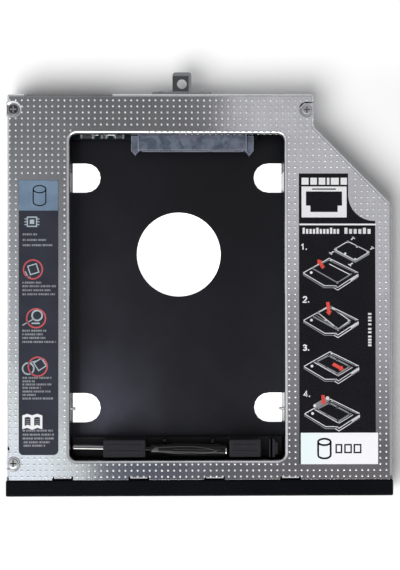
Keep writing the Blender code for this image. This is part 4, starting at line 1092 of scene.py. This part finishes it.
def empty_window(line, grey):
    """The caddy's window with nothing in it."""
    grey.line([(9, -4.6), (34.2, 9.8), (48.8, 0.8)], 1.1)
    line.line([(26, -9), (46.6, 1.6)], THIN)
    grey.line([(9, -4.6), (26, -13)], HAIR)
    line.disc(34.2, 9.6, 1.1)


def loose_drive(line, grey):
    """The drive above the caddy, with its four screws."""
    line.line([(31.2, -23.6), (44.9, -31.6), (66.2, -21), (52.2, -12.6)], FINE, closed=True)
    grey.line([(31, -22.2), (52.2, -11.2), (66.2, -19.4)], 2)
    line.discs([(32.8, -24.2), (44.9, -31.2), (54, -26.4), (64.4, -21.4), (42.2, -19.4), (52.2, -13.8)], 1.1)
    for head, tip in (((27.4, -19.4), (30.4, -21.4)), ((46.6, -7.8), (49.6, -9.9)),
                      ((50.6, -35.2), (48, -33.2)), ((69.9, -25.4), (67.4, -23.4))):
        x, y = head
        line.line([head, tip], 1.2)
        line.line([(x - 1.4, y - 1), (x + 1.4, y + 1)], 1)


def tilted_drive(line, grey):
    """The drive going down into the window at a slant."""
    line.line([(14.6, -7.6), (26.4, -14), (46.6, 0.2), (34.6, 8.6)], FINE, closed=True)
    grey.line([(9.4, -4), (34.4, 9.4), (46.8, 1.6)], 1.5)
    grey.line([(12, -5.6), (33.6, 8)], HAIR)
    line.discs([(14.8, -7.4), (26.6, -13.8), (35.6, -7.6), (45.4, 0.4), (22.2, -0.4), (31.4, 6.8), (34.6, 9.6)], 1)


def seated_drive(line, grey):
    """The drive lying in the window."""
    grey.line([(12.2, -4.4), (24.6, -11), (46, 0.2), (34.4, 7.6)], 1.7, closed=True)
    line.line([(10, -4.2), (34.4, 9.6), (48.6, 1)], HAIR)
    line.discs([(12.6, -4.4), (24.8, -10.6), (33, -6.4), (44.8, 0), (22, 1.2), (33, 6.8), (34.6, 9.2)], 0.95)


def closed_retainer(line, grey):
    """The retainer bar back in its place."""
    grey.shape([(8.6, -9), (23.2, -17.4), (24.2, -12.4), (10.8, -4.6)], 1)
    line.disc(10.2, -8, 1.4, level=2)
    line.disc(23, -15.6, 1.8, level=2)


def arrow(ink, tail, tip):
    """A short solid arrow."""
    tail, tip = Vector(tail), Vector(tip)
    ahead = (tip - tail).normalized()
    side = Vector((-ahead.y, ahead.x))
    neck = tip - ahead * ARROW_NECK
    shaft, barb = side * ARROW_WIDE / 2, side * ARROW_HEAD / 2
    corners = (tail + shaft, neck + shaft, neck + barb, tip, neck - barb, neck - shaft, tail - shaft)
    ink.shape([tuple(corner) for corner in corners], 2)


# What each picture adds to the caddy's drawing, and its arrow's tail and tip
STEPS = (
    ((empty_window, loose_drive), (20.4, -4.8), (14.4, -13.6)),
    ((tilted_drive,), (24.2, -18.4), (25.9, -5)),
    ((seated_drive,), (29, -2.4), (40, 3.6)),
    ((seated_drive, closed_retainer), (18.6, -18.6), (18.9, -8.6)),
)


def right_print():
    label = Label("right_label", "label_black", "white", "line", "grey", "red", "box", "black")
    white, line, black = label["white"], label["line"], label["black"]
    for ends in TOP_BOXES:
        white.box(*ends, *TOP_BOX_ROWS)
    white.box(*PLUG_FIELD)
    black.shape(PLUG, 1)
    black.box(*PLUG_BAR, 1)
    white.box(*RULE)
    top, low = BAR_ROWS
    for start, end, count in BARS:
        pitch = (end - start) / count
        for index in range(count):
            tall = 0 if index % TALL_EVERY else TALL_BAR
            line.box(start + pitch * index, start + pitch * (index + BAR_SHARE), top - tall, low)
    for y in SIDE_BARS:
        line.box(*SIDE_BAR_ENDS, y, y + SIDE_BAR_TALL)
    label["box"].box(*WHITE_BOX)
    black.drum(*BOX_DRUM)
    top, low = BOX_FRAME_ROWS
    for start, end in BOX_FRAMES:
        black.line([(start, top), (end, top), (end, low), (start, low)], 1.5, closed=True, level=1)
    for place, strokes in zip(NUMBERS, DIGITS):
        label.place(place)
        number(white, strokes)
    for place, (drawings, tail, tip) in zip(PICTURES, STEPS):
        label.place(place)
        for drawing in (caddy_drawing, *drawings):
            drawing(line, label["grey"])
        arrow(label["red"], tail, tip)
    label.made()


# Light, stage and camera

# The world's strength on the object, and its strength in reflections and to the camera
STUDIO = 0.37
MIRRORED = 1

# The flags' tones: stops of (place, colour) along x and y over height, as the plate mirrors them
LEFT_RAMP = (
    (0.052, (0.175, 0.175, 0.18)),
    (0.028, (0.212, 0.212, 0.218)),
    (0.005, (0.218, 0.218, 0.224)),
    (-0.019, (0.223, 0.232, 0.242)),
    (-0.044, (0.325, 0.332, 0.35)),
    (-0.069, (0.385, 0.395, 0.415)),
    (-0.094, (0.465, 0.482, 0.505)),
    (-0.12, (0.545, 0.57, 0.6)),
    (-0.143, (0.745, 0.8, 0.78)),
    (-0.15, (0.81, 0.87, 0.85)),
    (-0.158, (0.89, 0.94, 0.98)),
    (-0.175, (0.9, 0.97, 1.07)),
)
RIGHT_RAMP = (
    (0.063, (0.556, 0.55, 0.58)),
    (0.009, (0.548, 0.54, 0.575)),
    (-0.027, (0.428, 0.42, 0.448)),
    (-0.063, (0.332, 0.323, 0.346)),
    (-0.099, (0.205, 0.2, 0.215)),
    (-0.118, (0.14, 0.137, 0.146)),
    (-0.132, (0.185, 0.17, 0.18)),
)
FRONT_RAMP = (
    (-0.067, (0.118, 0.127, 0.154)),
    (-0.02, (0.105, 0.113, 0.142)),
    (0.015, (0.142, 0.143, 0.168)),
    (0.08, (0.162, 0.155, 0.17)),
    (0.11, (0.188, 0.172, 0.182)),
)
FLAG_SLANT = 0.7
FLAG_JOIN = (0.027, 0.041)
LEAN_MIDDLE = 0.156
LEAN_SHARE = 0.55
LEAN_FROM = (-0.1, -0.01)
FRONT_FLAG_LEFT = (-0.0722, -0.07)
FRONT_FLAG_RIGHT = (0.06, 0.11)
FRONT_FLAG_REAR = (-0.116, -0.1)
FLAG_RIM = (0.235, 0.36)
LOWEST = 0.01

# The room is brighter to the front left and darker near the floor
ROOM_DIM = (0.42, 0.425, 0.44)
ROOM_BRIGHT = (0.92, 0.93, 0.95)
ROOM_LOW = (0.42, 0.43, 0.45)
ROOM_SIDE = (-0.35, -0.9)
ROOM_SIDE_ENDS = (-0.6, 0.8)
ROOM_LOW_ENDS = (-0.02, 0.3)

# Soft boxes that only reflections show: side, near and far edge, half width and glow
SOFT_BOXES = (
    (-1, 0.7, 1.15, 0.9, (5.8, 5.8, 5.8)),
    (1, 0.85, 1.7, 0.6, (0.8, 0.8, 0.82)),
)
NEAR_BLUR = 0.22
FAR_BLUR = 0.4
SIDE_BLUR = 0.3

KEY_PLACE = Vector((-0.372, -0.453, 0.81))
KEY_SIZE = 0.85
KEY_WATTS = 11.4
KEY_COLOUR = (1, 0.995, 0.985)

FLOOR = (-3, 3, -3, 3)
FLOOR_HEIGHT = -0.0001
PAPER = (-0.05, 0.035, -0.055, 0.045)
PAPER_HEIGHT = -0.00003
FLOOR_REAR = (62, 95)

CAMERA_PLACE = (-6.65 * MM, -5.29 * MM, 442.7 * MM)
CAMERA_TURN = (0.635, -0.899, -0.081)
CAMERA_LENS = 116.69
CAMERA_SENSOR = 36
CAMERA_CLIP = (0.01, 20)


def flags(sky, u, v):
    """Soft grey flags overhead: one at the left, one at the right and one over the front."""
    left = sky.run(sky.math("ADD", sky.product(u, FLAG_SLANT), sky.product(v, FLAG_SLANT)), LEFT_RAMP)
    lean = sky.product(sky.ramp(v, 0, 1, *LEAN_FROM), sky.math("SUBTRACT", u, LEAN_MIDDLE), LEAN_SHARE)
    right = sky.run(sky.math("ADD", v, lean), RIGHT_RAMP)
    over = sky.mix(sky.ramp(u, 0, 1, *FLAG_JOIN), left, right)
    front = sky.product(
        sky.ramp(u, 0, 1, *FRONT_FLAG_LEFT), sky.ramp(u, 1, 0, *FRONT_FLAG_RIGHT), sky.ramp(v, 1, 0, *FRONT_FLAG_REAR),
    )
    return sky.mix(front, over, sky.run(u, FRONT_RAMP))


def room(sky, x, y, z, u, v, glossy):
    """The room round the flags, with its soft boxes."""
    turn = sky.math("ADD", sky.product(x, ROOM_SIDE[0]), sky.product(y, ROOM_SIDE[1]))
    colour = sky.mix(sky.ramp(turn, 0, 1, *ROOM_SIDE_ENDS), ROOM_DIM, ROOM_BRIGHT)
    colour = sky.mix(sky.ramp(z, 0, 1, *ROOM_LOW_ENDS), ROOM_LOW, colour)
    for side, near, far, reach, glow in SOFT_BOXES:
        along = sky.product(v, side)
        band = sky.product(
            sky.ramp(along, 0, 1, near, near + NEAR_BLUR),
            sky.ramp(along, 1, 0, far, far + FAR_BLUR),
            sky.ramp(sky.math("ABSOLUTE", u), 1, 0, reach, reach + SIDE_BLUR),
            glossy,
        )
        colour = sky.mix(band, colour, glow)
    return colour


def world_light():
    """A bright room with grey flags overhead, which the plate mirrors. To the camera it is white."""
    world = bpy.data.worlds.new("studio")
    bpy.context.scene.world = world
    world.use_nodes = True
    sky = Nodes(world.node_tree)
    ray = sky.add("TexCoord").outputs["Generated"]
    x, y, z = (sky.part(ray, axis) for axis in "XYZ")
    up = sky.math("MAXIMUM", z, LOWEST)
    u, v = sky.math("DIVIDE", x, up), sky.math("DIVIDE", y, up)
    away = sky.math("SQRT", sky.math("ADD", sky.product(u, u), sky.product(v, v)))
    outputs = sky.add("LightPath").outputs
    camera_ray, glossy_ray, glass_ray = (outputs[f"Is {kind} Ray"] for kind in ("Camera", "Glossy", "Transmission"))
    around = room(sky, x, y, z, u, v, glossy_ray)
    colour = sky.mix(sky.ramp(away, 0, 1, *FLAG_RIM), flags(sky, u, v), around)
    colour = sky.mix(camera_ray, colour, (1, 1, 1))
    seen = sky.math("MAXIMUM", sky.math("MAXIMUM", camera_ray, glossy_ray), glass_ray)
    back = sky.tree.nodes["Background"]
    sky.feed(back.inputs["Color"], colour)
    sky.feed(back.inputs["Strength"], sky.math("MULTIPLY_ADD", seen, MIRRORED - STUDIO, STUDIO))


def key_light():
    """A broad lamp at the front left, for the soft shadow at the rear right."""
    data = bpy.data.lights.new("key", "AREA")
    data.shape = "DISK"
    data.size = KEY_SIZE
    data.energy = KEY_WATTS
    data.color = KEY_COLOUR
    obj = linked("key", data)
    obj.location = KEY_PLACE
    obj.visible_glossy = False
    obj.rotation_euler = (-KEY_PLACE).to_track_quat("-Z", "Y").to_euler()


def floor_sheet(name, ends, height, glow, white, far=0):
    """A pale sheet that also shows some white of its own to the camera, and more of it to the rear."""
    look = Look(name, (white, white, white), 0.9, gloss=0)
    look.put("Emission Color", (1, 1, 1))
    shown = look.along("Y", glow, glow + far, *FLOOR_REAR)
    look.put("Emission Strength", look.product(look.add("LightPath").outputs["Is Camera Ray"], shown))
    x0, x1, y0, y1 = ends
    mesh = bpy.data.meshes.new(name)
    mesh.from_pydata([(x0, y0, height), (x1, y0, height), (x1, y1, height), (x0, y1, height)], [], [(0, 1, 2, 3)])
    mesh.materials.append(look.material)
    linked(name, mesh)


def camera():
    data = bpy.data.cameras.new("camera")
    data.sensor_fit = "HORIZONTAL"
    data.sensor_width = CAMERA_SENSOR
    data.lens = CAMERA_LENS
    data.clip_start, data.clip_end = CAMERA_CLIP
    obj = linked("camera", data)
    obj.location = CAMERA_PLACE
    obj.rotation_euler = [math.radians(angle) for angle in CAMERA_TURN]
    bpy.context.scene.camera = obj


bpy.context.scene.view_settings.view_transform = "Standard"
dress_nodes()
plate_dots()
lip_dots()
contacts()
chip_ends()
board_strip_glint()
screw_dishes()
seat_slit_shade()
handle_details()
edge_slot_shade()
opening_edge()
left_print()
right_print()
world_light()
key_light()
floor_sheet("floor", FLOOR, FLOOR_HEIGHT, glow=0.065, white=0.96, far=0.16)
floor_sheet("paper", PAPER, PAPER_HEIGHT, glow=1, white=0.8)
camera()
